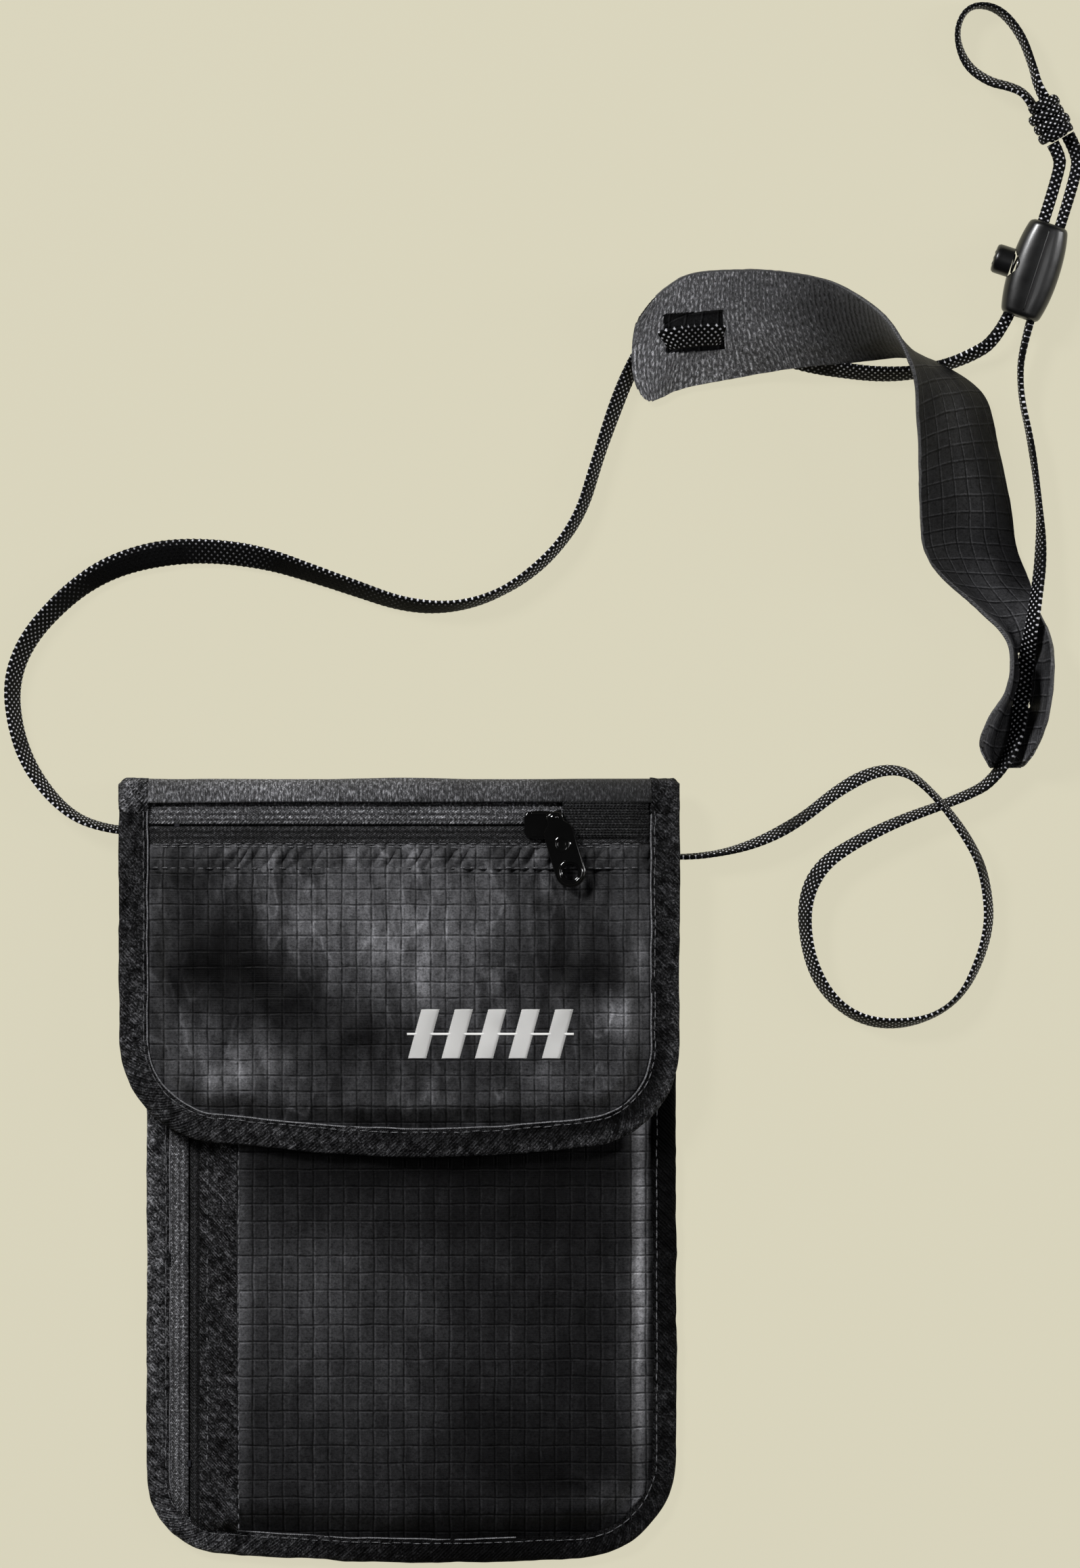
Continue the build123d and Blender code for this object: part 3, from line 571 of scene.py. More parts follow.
# The fold band's knit has a lighter base than the back panel's same knit, which is painted light, and its spots paint a
# highlight over the left half and shade at the right end.
M_KNIT = knit("soft_knit", 0.075, painted_light_spots=((-30, 0, 45, 400, 0.5), (58, 0, 30, 400, -0.75)))
M_KNITB = knit("soft_knit_back", 0.02, along="v")
M_LINING = knit("flap_lining", 0.016, 0.9, "v")
# The band lining's spots paint shade over a stretch of the band and along one side.
M_BAND = knit("band_lining", 0.26, 1.25, "v", stripe=0.75, painted_light_spots=((16, 60, 40, 24, -0.92), (16, 84, 40, 16, -0.9), (4, 50, 7, 50, -0.45)))
# zip_tape is the same woven tape as zip_tape_lower with a base five times lighter: painted light, used on the flap's
# upper tape and the body's left tape.
M_TAPE_PAINTED_LIGHT = ziptape("zip_tape", 0.135, painted_light_spots=((0, 0, 4000, 4000, 0.0),))
M_TAPE2 = ziptape("zip_tape_lower", 0.026)
M_GARAGE = ziptape("garage_rib", 0.016)
M_BRAID = braid("cord_braid")
M_BRAIDL = braid("cord_braid_left", dark=((104, 34), (150, 24), (182, 14)))
M_GLOSS = moulded("moulded_gloss", 0.0012, 0.05, 0.12, 0.5)
M_LOCK = moulded("moulded_lock", 0.004, 0.26, 0.42, 0.1)
M_PIPE = simple_thread("edge_thread", g3(0.02), g3(0.26), 0.45, 1.6)
M_COIL = moulded("zip_coil", 0.008, 0.25, 0.45, 0.1)
M_THREAD = simple_thread("black_thread", g3(0.01), g3(0.20), 0.4, 2.0)
M_WHITE = simple_thread("white_thread", (0.62, 0.615, 0.60), (0.98, 0.97, 0.95), 0.45, 4.0)
M_EDGE = simple_thread("hot_cut_edge", g3(0.006), g3(0.10), 0.5, 2.0)
M_HOOK = knit("hook_and_loop", 0.02, 0.8, "u", sheen=0.12, stripe=0.8)
M_STEEL = steel("spring_steel")

# ---------------------------------------------------- outlines, as in the CAD
BL, BR, BB = -64.6, 70.6, -100.7
FL, FR, FB = -71.35, 71.35, 2.1


def body_poly(w, top):
    return ([(BL + w, top), (BL + w, -96.6 + 0.93 * w), (4.0, BB + w), (BR - w, -98.0 + 0.95 * w), (BR - w, top)],
            [0, 20.0 - 0.9 * w, 500.0, 26.0 - 0.9 * w, 0])


def flap_poly(w, top):
    return ([(FL + w, top), (FL + w, 9.6 + 0.92 * w), (8.0, FB + w), (FR - w, 8.8 + 0.92 * w), (FR - w, top)],
            [0, 27.0 - 0.9 * w, 320.0, 25.0 - 0.9 * w, 0])


def trace(poly, step=0.8):
    """Points and inward normals down the left side, round the bottom and up the right."""
    pts, radii = poly
    out = []
    n = len(pts)
    prev = np.array(pts[0], float)
    for i in range(1, n - 1):
        p, a, b = (np.array(pts[k], float) for k in (i, i - 1, i + 1))
        ua, ub = (a - p) / np.linalg.norm(a - p), (b - p) / np.linalg.norm(b - p)
        half = math.acos(float(np.clip(ua @ ub, -1, 1))) / 2
        r = radii[i]
        t = r / math.tan(half)
        s, e = p + ua * t, p + ub * t
        k = max(2, int(np.linalg.norm(s - prev) / step))
        out += [prev + (s - prev) * j / k for j in range(k)]
        bis = (ua + ub) / np.linalg.norm(ua + ub)
        c = p + bis * (r / math.sin(half))
        a0 = math.atan2(*(s - c)[::-1])
        a1 = math.atan2(*(e - c)[::-1])
        while a1 < a0:
            a1 += TAU
        k = max(3, int(r * (a1 - a0) / step))
        out += [c + r * np.array([math.cos(a0 + (a1 - a0) * j / k), math.sin(a0 + (a1 - a0) * j / k)]) for j in range(k)]
        prev = e
    last = np.array(pts[-1], float)
    k = max(2, int(np.linalg.norm(last - prev) / step))
    out += [prev + (last - prev) * j / k for j in range(k + 1)]
    P = np.array(out)
    d = np.gradient(P, axis=0)
    d /= np.linalg.norm(d, axis=1)[:, None]
    N = np.stack([-d[:, 1], d[:, 0]], 1)
    s = np.r_[0, np.cumsum(np.linalg.norm(np.diff(P, axis=0), axis=1))]
    return P, N, s


def inside(poly, X, Y):
    """Distance inside the outline (positive within), from its traced line."""
    P, N, s = trace(poly, 1.5)
    q = np.stack([X.ravel(), Y.ravel()], 1)
    out = np.empty(len(q))
    for i in range(0, len(q), 4000):
        d = q[i:i + 4000, None, :] - P[None]
        dd = (d ** 2).sum(2)
        j = dd.argmin(1)
        v = d[np.arange(len(j)), j]
        # distance to the line through the nearest point
        nn = N[j]
        out[i:i + 4000] = (v * nn).sum(1)
    return out.reshape(X.shape)


# --------------------------------------------------------------- stitching
def stitches(name, line, zfun, pitch=2.5, length=1.75, r=0.2, jitter=0.12, seed=1, mat=None, up=0.1):
    """A row of stitches along a plan line (points in mm), lying on zfun."""
    line = np.asarray(line, float)
    s = np.r_[0, np.cumsum(np.linalg.norm(np.diff(line[:, :2], axis=0), axis=1))]
    rr = np.random.default_rng(seed)
    verts, faces, uvs = [], [], []
    k, rings = 6, 5
    for c in np.arange(pitch * 0.6, s[-1] - pitch * 0.5, pitch):
        L = length * rr.uniform(0.85, 1.1)
        off = rr.uniform(-jitter, jitter)
        base = len(verts)
        for i in range(rings):
            f = i / (rings - 1)
            sc = c + (f - 0.5) * L
            x, y = np.interp(sc, s, line[:, 0]), np.interp(sc, s, line[:, 1])
            x2, y2 = np.interp(sc + 0.1, s, line[:, 0]), np.interp(sc + 0.1, s, line[:, 1])
            t = np.array([x2 - x, y2 - y])
            t /= max(1e-9, np.linalg.norm(t))
            nrm = np.array([-t[1], t[0]])
            rad = r * math.sqrt(max(0.02, 1 - (2 * f - 1) ** 2 * 0.96))
            z = float(zfun(x, y)) + up * (1 - (2 * f - 1) ** 2) - 0.02
            for a in range(k):
                an = TAU * a / k
                verts.append((x + nrm[0] * (math.cos(an) * rad + off), y + nrm[1] * (math.cos(an) * rad + off), z + math.sin(an) * rad))
                uvs.append((sc, a / k))
        for i in range(rings - 1):
            for a in range(k):
                b = (a + 1) % k
                faces.append((base + i * k + a, base + i * k + b, base + (i + 1) * k + b, base + (i + 1) * k + a))
        faces.append(tuple(base + a for a in range(k - 1, -1, -1)))
        faces.append(tuple(base + (rings - 1) * k + a for a in range(k)))
    return make(name, verts, faces, uvs, mat or M_THREAD)


# ------------------------------------------------------------ binding tapes
def binding(name, poly, w, z0, h, mat, seed, pucker=0.12, corner=None):
    """Tape folded round an edge, as a closed section swept along the outline."""
    P, N, s = trace(poly, 0.8)
    t = 0.45
    prof = [(w, h - t * 0.5), (w - 0.15, h), (w * 0.7, h + 0.12), (w * 0.4, h + 0.16), (1.2, h + 0.02), (0.45, h - 0.35),
            (0.08, h * 0.72), (0.0, h * 0.5), (0.08, h * 0.28), (0.4, 0.14), (1.1, 0.0), (w * 0.4, 0.0), (w * 0.7, 0.0),
            (w - 0.1, 0.02), (w, 0.25), (w - 0.2, t), (1.4, t), (0.8, h * 0.5), (1.4, h - t - 0.05), (w - 0.2, h - t - 0.02)]
    prof = np.array(prof)
    arc = np.r_[0, np.cumsum(np.linalg.norm(np.diff(prof, axis=0), axis=1))]
    n, k = len(P), len(prof)
    R = np.zeros((n, k, 3))
    U = np.zeros((n, k, 2))
    for j, (e, z) in enumerate(prof):
        top = 1 if 1 <= j <= 6 else 0
        wob = vnoise(s, np.full(n, j * 0.7), 5.0, seed) * pucker + vnoise(s, np.full(n, j * 1.3), 1.9, seed + 1) * pucker * 0.6
        edge_wob = vnoise(s, np.zeros(n), 9.0, seed + 2) * 0.26 + vnoise(s, np.zeros(n), 2.4, seed + 4) * 0.14
        ee = e + (edge_wob if e > w * 0.5 else edge_wob * 0.6)
        zz = z0 + z + (wob if top else 0)
        if corner is not None and top:
            zz = zz + corner(P, s) * math.sin(math.pi * min(1, e / w))
        R[:, j, 0] = P[:, 0] + N[:, 0] * ee
        R[:, j, 1] = P[:, 1] + N[:, 1] * ee
        R[:, j, 2] = np.maximum(zz, z0)
        U[:, j, 0] = arc[j]
        U[:, j, 1] = s
    return tube_mesh(name, R, U, mat)


def edge_thread(name, poly, w, z, r=0.2, seed=1, cut=None):
    """Fine raised thread line along the binding's inner edge."""
    P, N, s = trace(poly, 0.8)
    if cut is not None:
        P, N, s = P[cut(P)], N[cut(P)], s[cut(P)]
    n, k = len(P), 6
    off = w + 0.14 * vnoise(s, np.zeros(n), 6.0, seed)
    R = np.zeros((n, k, 3))
    U = np.zeros((n, k, 2))
    for j in range(k):
        an = TAU * j / k
        e = off + r * math.cos(an)
        R[:, j, 0] = P[:, 0] + N[:, 0] * e
        R[:, j, 1] = P[:, 1] + N[:, 1] * e
        R[:, j, 2] = z + 0.06 * vnoise(s, np.zeros(n), 3.0, seed + 1) + r * math.sin(an)
        U[:, j] = np.stack([np.full(n, j * 0.2), s], -1)
    return tube_mesh(name, R, U, M_PIPE)


def strip_line(poly, w):
    """Plan line a distance w inside an outline."""
    P, N, s = trace(poly, 0.8)
    return P + N * w


# =========================================================== the pouch body
BPOLY = body_poly(0, 93.0)
FPOLY = flap_poly(0, 95.2)
BW, FW = 6.0, 7.2


def corner_puckers(P, s):
    d = np.exp(-((P[:, 0] + 58) ** 2 + (P[:, 1] + 90) ** 2) / 170.0)
    return d * 0.45 * np.sin(s * TAU / 2.7)


ob = binding("body_edge_binding", BPOLY, BW, 0.0, 2.6, M_TWILL, 11, 0.26, corner_puckers)
ob2 = stitches("body_binding_stitches", strip_line(BPOLY, BW - 1.0), lambda x, y: 2.78, 2.6, 2.35, seed=3, r=0.15)
ob3 = edge_thread("body_binding_line", BPOLY, BW + 0.05, 2.55, 0.2, 15, lambda P: (P[:, 0] < 30) & (P[:, 1] < 92))
body_binding = put(join("body_edge_binding", [ob, ob2, ob3]), "pouch", "twill_tape", "body_binding")

# back panel: smooth brushed knit, flat on the surface
xs = np.linspace(BL + 0.8, BR - 0.8, 110)
ys = np.linspace(-99.6, 92.6, 150)
X, Y = np.meshgrid(xs, ys, indexing="ij")
D = inside(body_poly(0, 200.0), X, Y)
keep = (D[:-1, :-1] > 0.9) & (D[1:, 1:] > 0.9) & (D[1:, :-1] > 0.9) & (D[:-1, 1:] > 0.9)
Z = 0.85 + vnoise(X, Y, 22, 5) * 0.08 * sstep(1, 12, D)
ob = grid("back_panel_cloth", np.stack([X, Y, Z], -1), np.stack([X, Y], -1), M_KNITB, 0.45, keep=keep)
put(ob, "pouch", "soft_knit", "back_panel")

# front panel
PX0 = -42.3


def panel_z(x, y, d):
    """Billowed ripstop panel: z over plan, d inside from the binding's inner edge."""
    rise = sstep(-0.5, 8.5, d) ** 0.8
    z = 1.5 + 4.75 * rise
    z = z - 3.2 * sstep(86.0, 93.5, y)
    # taut ridge just inside the right seam and a soft dip beside it
    z = z + 0.55 * np.exp(-((d - 6.5) / 2.4) ** 2) * sstep(20, 50, x)
    z = z - 0.35 * np.exp(-((d - 15) / 6) ** 2) * sstep(20, 50, x)
    # shallow lengthwise drape
    z = z + 0.30 * vnoise(x, y * 0.55, 21, 21) * sstep(1, 10, d)
    z = z + 0.12 * vnoise(x, y, 7.5, 22) * sstep(0, 6, d)
    z = z + 0.30 * np.exp(-((x - (PX0 + 2.6)) / 2.0) ** 2)
    # pulls from the lower right corner
    rx, ry = x - 58.0, y + 84.0
    rad = np.hypot(rx, ry) + 1e-6
    ang = np.arctan2(ry, rx)
    z = z + 0.22 * vnoise(ang * 14.0, rad * 0.25, 3.2, 24) * np.exp(-((rad - 13) / 8) ** 2) * sstep(0, 5, d)
    return np.maximum(z, 1.45)


xs = np.linspace(PX0, BR - 0.9, 190)
ys = np.linspace(-99.4, 92.4, 300)
X, Y = np.meshgrid(xs, ys, indexing="ij")
D = inside(body_poly(0, 200.0), X, Y)
keep = (D[:-1, :-1] > 1.0) & (D[1:, 1:] > 1.0) & (D[1:, :-1] > 1.0) & (D[:-1, 1:] > 1.0)
Z = panel_z(X, Y, D - BW)
ob = grid("front_panel_cloth", np.stack([X, Y, Z], -1), np.stack([X, Y], -1), M_RIP, 0.45, keep=keep)
seam_r = np.array([(63.1, 92), (63.1, -70.0)])
st1 = stitches("front_panel_stitch", [(PX0 + 1.3, 86.0), (PX0 + 1.3, -93.0)],
               lambda x, y: panel_z(x, y, 20.0) + 0.25, seed=5, r=0.18)
put(join("front_panel_cloth", [ob, st1]), "pouch", "ripstop", "front_panel")

# twill strip between the zip and the panel
n = 260
ys = np.linspace(-94.4, 86.0, n)
prof = np.array([(-50.6, 3.2), (-50.7, 4.3), (-50.2, 4.75), (-49.3, 4.9), (-47.0, 5.35), (-45.0, 5.85), (-43.6, 6.35),
                 (-42.6, 6.75), (-41.6, 6.8), (-41.4, 6.45)])
arc = np.r_[0, np.cumsum(np.linalg.norm(np.diff(prof, axis=0), axis=1))]
P = np.zeros((n, len(prof), 3))
UV = np.zeros((n, len(prof), 2))
for j, (x, z) in enumerate(prof):
    P[:, j, 0] = x + vnoise(ys, np.full(n, 3.0), 14, 31) * 0.15
    P[:, j, 1] = ys
    drop = sstep(-88.5, -93.5, ys)
    zz = z + vnoise(ys, np.full(n, x), 6, 32) * 0.2
    P[:, j, 2] = zz * (1 - drop) + drop * np.minimum(zz, 1.9)
    UV[:, j, 0] = arc[j]
    UV[:, j, 1] = ys
ob = grid("zip_edge_strip", P, UV, M_STRIP, 0.45)
st = stitches("strip_stitch", [(-49.0, 86.0), (-49.0, -86.0)], lambda x, y: 5.05, seed=6, r=0.17)
put(join("zip_edge_strip", [ob, st]), "pouch", "twill_tape", "front_panel_edge_strip")

# body zip: tapes with the reverse coil's ridges, and the coils below them
ZX = -53.6


def coil(name, x0, x1, yc, zc, ry, rz, along, mat, pitch=1.15, wire=0.27):
    """Nylon coil: a flattened helix of round wire."""
    turns = abs(x1 - x0) / pitch
    n = int(turns * 12)
    t = np.linspace(0, turns * TAU, n)
    a = x0 + (x1 - x0) * t / t[-1]
    c = np.stack([a, yc + ry * np.cos(t), zc + rz * np.sin(t)], 1)
    d = np.gradient(c, axis=0)
    d /= np.linalg.norm(d, axis=1)[:, None]
    up = np.array([1.0, 0, 0])
    s1 = np.cross(d, up)
    s1 /= np.linalg.norm(s1, axis=1)[:, None]
    s2 = np.cross(d, s1)
    k = 5
    R = np.stack([c + wire * (math.cos(TAU * j / k) * s1 + math.sin(TAU * j / k) * s2) for j in range(k)], 1)
    if along == "y":
        R = R[..., [1, 0, 2]]
    U = np.zeros((n, k, 2))
    U[..., 0] = np.arange(k)
    U[..., 1] = a[:, None]
    return tube_mesh(name, R, U, mat)


def tape_grid(name, us, vs, prof_fun, mat, along, t=0.4, trim=False):
    """Zip tape: us across the tape, vs along it; prof_fun(u, v) gives z."""
    U, V = np.meshgrid(us, vs, indexing="ij")
    Z = prof_fun(U, V)
    keep = None
    if trim:
        d = inside(body_poly(0, 200.0), U, V)
        keep = (d[:-1, :-1] > 2.0) & (d[1:, 1:] > 2.0)
    P = np.stack([V, U, Z], -1) if along == "x" else np.stack([U, V, Z], -1)
    if along == "x":
        P = P[::-1]
        U = U[::-1]
        V = V[::-1]
    return grid(name, P, np.stack([U, V], -1), mat, t, keep=keep)


def ridge(d):
    """Ridges of the coil showing through the tape, d from the chain line."""
    return 0.22 * np.exp(-((d - 0.85) / 0.35) ** 2) + 0.12 * np.exp(-((d - 2.1) / 0.5) ** 2) - 0.5 * np.exp(-((d - 0.32) / 0.18) ** 2)


def fall(u, v):
    """1 on the pouch, falling to 0 under the binding's inner edge."""
    return sstep(-2.6, 1.6, inside(body_poly(0, 200.0), u, v) - BW)


def left_tape(u, v):
    d = (ZX - u)
    ramp = sstep(-59.6, -56.9, u)
    return 1.5 + (2.15 * ramp + ridge(d) * ramp) * fall(u, v) + 0.06 * vnoise(u, v, 5, 41) + 0.05 * np.sin(v * TAU / 1.15) * np.exp(-((d - 0.9) / 0.4) ** 2)


def right_tape(u, v):
    d = (u - ZX)
    return 1.6 + (2.05 + ridge(d)) * fall(u, v) + 0.06 * vnoise(u, v, 5, 42) + 0.05 * np.sin(v * TAU / 1.15) * np.exp(-((d - 0.9) / 0.4) ** 2)


vs = np.linspace(-99.0, 90.0, 760)
ob = tape_grid("body_zip_tape_left", np.r_[np.linspace(-63.5, -57.5, 8), np.linspace(-57.2, ZX - 0.3, 22)], np.linspace(-97.0, 90.0, 760), left_tape, M_TAPE_PAINTED_LIGHT, "y", trim=True)
put(ob, "pouch", "zip_tape", "front_zip_tape_left")
ob = tape_grid("body_zip_tape_right", np.r_[np.linspace(ZX + 0.3, -50.6, 20), np.linspace(-50.2, -46.6, 4)], vs, right_tape, M_TAPE2, "y", trim=True)
put(ob, "pouch", "zip_tape", "front_zip_tape_right")
for side, nm in ((-1, "left"), (1, "right")):
    ob = coil("body_zip_coil_" + nm, -84.0, 85.5, ZX + side * 1.15, 2.75, 0.6, 0.36, "y", M_COIL)
    put(ob, "pouch", "zip_coil", "front_zip_coil_" + nm)


def rbox(name, c, size, r, mat, seg=3, rot=None):
    """Rounded block as part of a moulded or cast piece."""
    bm = bmesh.new()
    bmesh.ops.create_cube(bm, size=1.0)
    for v in bm.verts:
        v.co = Vector((v.co.x * size[0], v.co.y * size[1], v.co.z * size[2]))
    bmesh.ops.bevel(bm, geom=bm.edges[:], offset=min(r, min(size) * 0.49), segments=seg, affect="EDGES", profile=0.5)
    me = bpy.data.meshes.new(name)
    M = Matrix.Translation(Vector(c)) @ (rot.to_4x4() if rot else Matrix.Identity(4))
    bm.transform(Matrix.Scale(MM, 4) @ M)
    bm.to_mesh(me)
    bm.free()
    lay = me.uv_layers.new(name="UVMap")
    for l in me.loops:
        co = me.vertices[l.vertex_index].co / MM
        lay.data[l.index].uv = (co.x, co.y)
    me.polygons.foreach_set("use_smooth", [True] * len(me.polygons))
    me.materials.append(mat)
    return link(bpy.data.objects.new(name, me))


def plate(name, outline, holes, z, h, bevel, mat, M=None):
    """Flat moulded plate from a plan outline with holes, its edges rolled."""
    cu = bpy.data.curves.new(name, "CURVE")
    cu.dimensions = "2D"
    cu.fill_mode = "BOTH"
    cu.extrude = (h / 2 - bevel) * MM
    cu.bevel_depth = bevel * MM
    cu.bevel_resolution = 3
    for loop in [outline] + list(holes):
        sp = cu.splines.new("POLY")
        sp.points.add(len(loop) - 1)
        c = np.mean(loop, axis=0)
        for p, q in zip(sp.points, loop):
            p.co = (q[0] * MM, q[1] * MM, 0, 1)
        sp.use_cyclic_u = True
    tmp = link(bpy.data.objects.new(name + "_tmp", cu))
    bpy.context.view_layer.update()
    dg = bpy.context.evaluated_depsgraph_get()
    me = bpy.data.meshes.new_from_object(tmp.evaluated_get(dg))
    bpy.data.objects.remove(tmp)
    bpy.data.curves.remove(cu)
    me.transform(Matrix.Translation(Vector((0, 0, z * MM))))
    if M is not None:
        me.transform(M)
    if not me.uv_layers:
        me.uv_layers.new(name="UVMap")
    me.uv_layers[0].name = "UVMap"
    lay = me.uv_layers[0]
    for l in me.loops:
        co = me.vertices[l.vertex_index].co / MM
        lay.data[l.index].uv = (co.x, co.y)
    me.materials.clear()
    me.materials.append(mat)
    ob = link(bpy.data.objects.new(name, me))
    auto_flat(ob, 40)
    return ob


def circle(cx, cy, r, n=32, rev=False, sx=1.0):
    a = np.linspace(0, TAU, n, endpoint=False)
    if rev:
        a = a[::-1]
    return [(cx + sx * r * math.cos(t), cy + r * math.sin(t)) for t in a]


def slot_shape(L, W0, W1, n=10):
    """Plan outline of a pull: from a narrow eye at the origin to a round end at -L."""
    pts = []
    r0, r1 = W0 / 2, W1 / 2
    for t in np.linspace(0, math.pi, n):
        pts.append((r0 * math.cos(t), r0 * math.sin(t) * 0.7))
    pts += [(-r0 - 0.25, -1.6), (-r1 + 0.35, -3.0), (-r1, -4.6)]
    for t in np.linspace(math.pi, TAU, n * 2):
        pts.append((r1 * math.cos(t), -L + r1 + r1 * math.sin(t)))
    pts += [(r1, -4.6), (r1 - 0.35, -3.0), (r0 + 0.25, -1.6)]
    return pts


def ring_lathe(name, prof, mat, M, n=40, sy=1.0):
    """Lathe of (r, z) about z, then moved by M (in mm)."""
    prof = np.array(prof, float)
    k = len(prof)
    V, U = [], []
    for i in range(n):
        a = TAU * i / n
        for r, z in prof:
            V.append((r * math.cos(a), sy * r * math.sin(a), z))
            U.append((a * 3, z))
    faces = []
    for i in range(n):
        j = (i + 1) % n
        for a in range(k - 1):
            faces.append((i * k + a, j * k + a, j * k + a + 1, i * k + a + 1))
    ob = make(name, V, faces, U, mat)
    bm = bmesh.new()
    bm.from_mesh(ob.data)
    bmesh.ops.remove_doubles(bm, verts=bm.verts[:], dist=1e-6)
    bmesh.ops.recalc_face_normals(bm, faces=bm.faces[:])
    bm.to_mesh(ob.data)
    bm.free()
    ob.data.transform(Matrix.Scale(MM, 4) @ M @ Matrix.Scale(1 / MM, 4))
    return ob


def mm_matrix(loc, rz=0.0):
    return Matrix.Translation(Vector(loc)) @ Matrix.Rotation(rz, 4, "Z")


def to_m(M):
    """A matrix given in millimetres, for a mesh in metres."""
    A = M.copy()
    A.translation = A.translation * MM
    return A


def slider_parts(pre, L, W, M, zb):
    """Moulded slider: lower plate, web, upper plate with rails raised along its sides."""
    out = []
    top = [(-L / 2, -W * 0.30), (-L / 2 + 0.7, -W / 2 + 0.25), (-L * 0.1, -W / 2), (L / 2 - 1.6, -W / 2 + 0.35), (L / 2, -W * 0.24),
           (L / 2, W * 0.24), (L / 2 - 1.6, W / 2 - 0.35), (-L * 0.1, W / 2), (-L / 2 + 0.7, W / 2 - 0.25), (-L / 2, W * 0.30)]
    out.append(plate(pre + "_lower", top, [], zb + 0.42, 0.85, 0.25, M_GLOSS, to_m(M)))
    out.append(plate(pre + "_upper", top, [], zb + 3.32, 0.95, 0.35, M_GLOSS, to_m(M)))
    out.append(rbox(pre + "_web", (-1.4, 0, zb + 1.9), (2.4, 0.46, 2.5), 0.15, M_GLOSS))
    out[-1].data.transform(to_m(M))
    # side rails raised along the edges of the upper plate
    for sy in (-1, 1):
        out.append(rbox(pre + "_rail", (0.2, sy * (W / 2 - 0.55), zb + 3.8), (L * 0.72, 0.55, 0.35), 0.16, M_GLOSS))
        out[-1].data.transform(to_m(M))
    return out


# flap slider and pull
PANG = math.atan2(-0.958, 0.285) + math.pi / 2
PIV = (39.4, 90.2, 15.55)
MS = mm_matrix((36.9, 88.3, 0))
MP = mm_matrix(PIV, PANG)
parts = slider_parts("flap_slider", 9.6, 6.6, MS, 10.9)
for sx in (-1.6, 1.6):
    parts.append(rbox("flap_slider_lug", (sx, 0, -0.5), (0.8, 1.9, 2.0), 0.3, M_GLOSS))
    parts[-1].data.transform(to_m(MP))
parts.append(rbox("flap_slider_bridge", (0, 0.3, -1.15), (4.4, 2.4, 0.36), 0.12, M_GLOSS))
parts[-1].data.transform(to_m(MP))
parts.append(ring_lathe("flap_slider_pin", [(0, -2.1), (0.5, -2.05), (0.6, -1.9), (0.6, 1.9), (0.5, 2.05), (0, 2.1)], M_GLOSS,
                        MP @ Matrix.Rotation(math.pi / 2, 4, "Y"), 20))
put(join("flap_slider_body", parts), "flap_zip_slider", "moulded_black", "flap_zip_slider")


def pull(pre, L, W0, W1, h, hole, boss, M, eye):
    out = []
    holes = [circle(0, -L + W1 / 2, hole, 36, True)]
    out.append(plate(pre + "_tab", slot_shape(L, W0, W1), holes, 0.0, h, min(0.42, h * 0.42), M_GLOSS, to_m(M)))
    # rolled rim round the hole and a round boss in the middle of the tab
    out.append(ring_lathe(pre + "_rim", [(hole - 0.02, 0), (hole + 0.05, h * 0.5), (hole + 0.35, h * 0.5 + 0.28),
                                         (hole + 0.75, h * 0.5 + 0.22), (hole + 0.95, h * 0.5 - 0.08)], M_GLOSS,
                          M @ Matrix.Translation(Vector((0, -L + W1 / 2, 0))), 44))
    if boss:
        out.append(ring_lathe(pre + "_boss", [(0, h * 0.5 + 0.12), (boss * 0.45, h * 0.5 + 0.1), (boss * 0.62, h * 0.5 + 0.02), (boss * 0.75, h * 0.5 + 0.28),
                                              (boss * 0.95, h * 0.5 + 0.3), (boss * 1.15, h * 0.5 - 0.08)], M_GLOSS,
                              M @ Matrix.Translation(Vector((0, -L + W1 + boss + 1.9, 0))), 40))
    out.append(ring_lathe(pre + "_eye", [(0.68, -1.0), (eye - 0.12, -1.0), (eye, -0.85), (eye, 0.85), (eye - 0.12, 1.0), (0.68, 1.0), (0.68, -1.0)],
                          M_GLOSS, M @ Matrix.Rotation(math.pi / 2, 4, "Y"), 28))
    return out


put(join("flap_pull_tab", pull("flap_pull", 18.0, 3.0, 7.0, 1.8, 2.35, 2.0, MP, 1.15)), "flap_zip_pull", "moulded_black", "flap_zip_pull")

# body slider and pull, under the flap
MB = mm_matrix((ZX, 80.0, 0), math.pi / 2)
MBP = mm_matrix((ZX, 79.0, 6.1))
parts = slider_parts("body_slider", 8.2, 6.2, MB, 1.45)
for sx in (-1.6, 1.6):
    parts.append(rbox("body_slider_lug", (sx, 0, -0.4), (0.8, 1.7, 1.6), 0.3, M_GLOSS))
    parts[-1].data.transform(to_m(MBP))
parts.append(ring_lathe("body_slider_pin", [(0, -2.1), (0.45, -2.05), (0.55, -1.9), (0.55, 1.9), (0.45, 2.05), (0, 2.1)], M_GLOSS,
                        MBP @ Matrix.Rotation(math.pi / 2, 4, "Y"), 20))
put(join("body_slider", parts), "front_zip_slider", "moulded_black", "front_zip_slider")
put(join("body_pull_tab", pull("body_pull", 12.4, 2.4, 5.0, 1.0, 1.5, 0, MBP, 0.95)), "front_zip_pull", "moulded_black", "front_zip_pull")

# ================================================================= the flap
HY, HZ = 94.6, 8.6


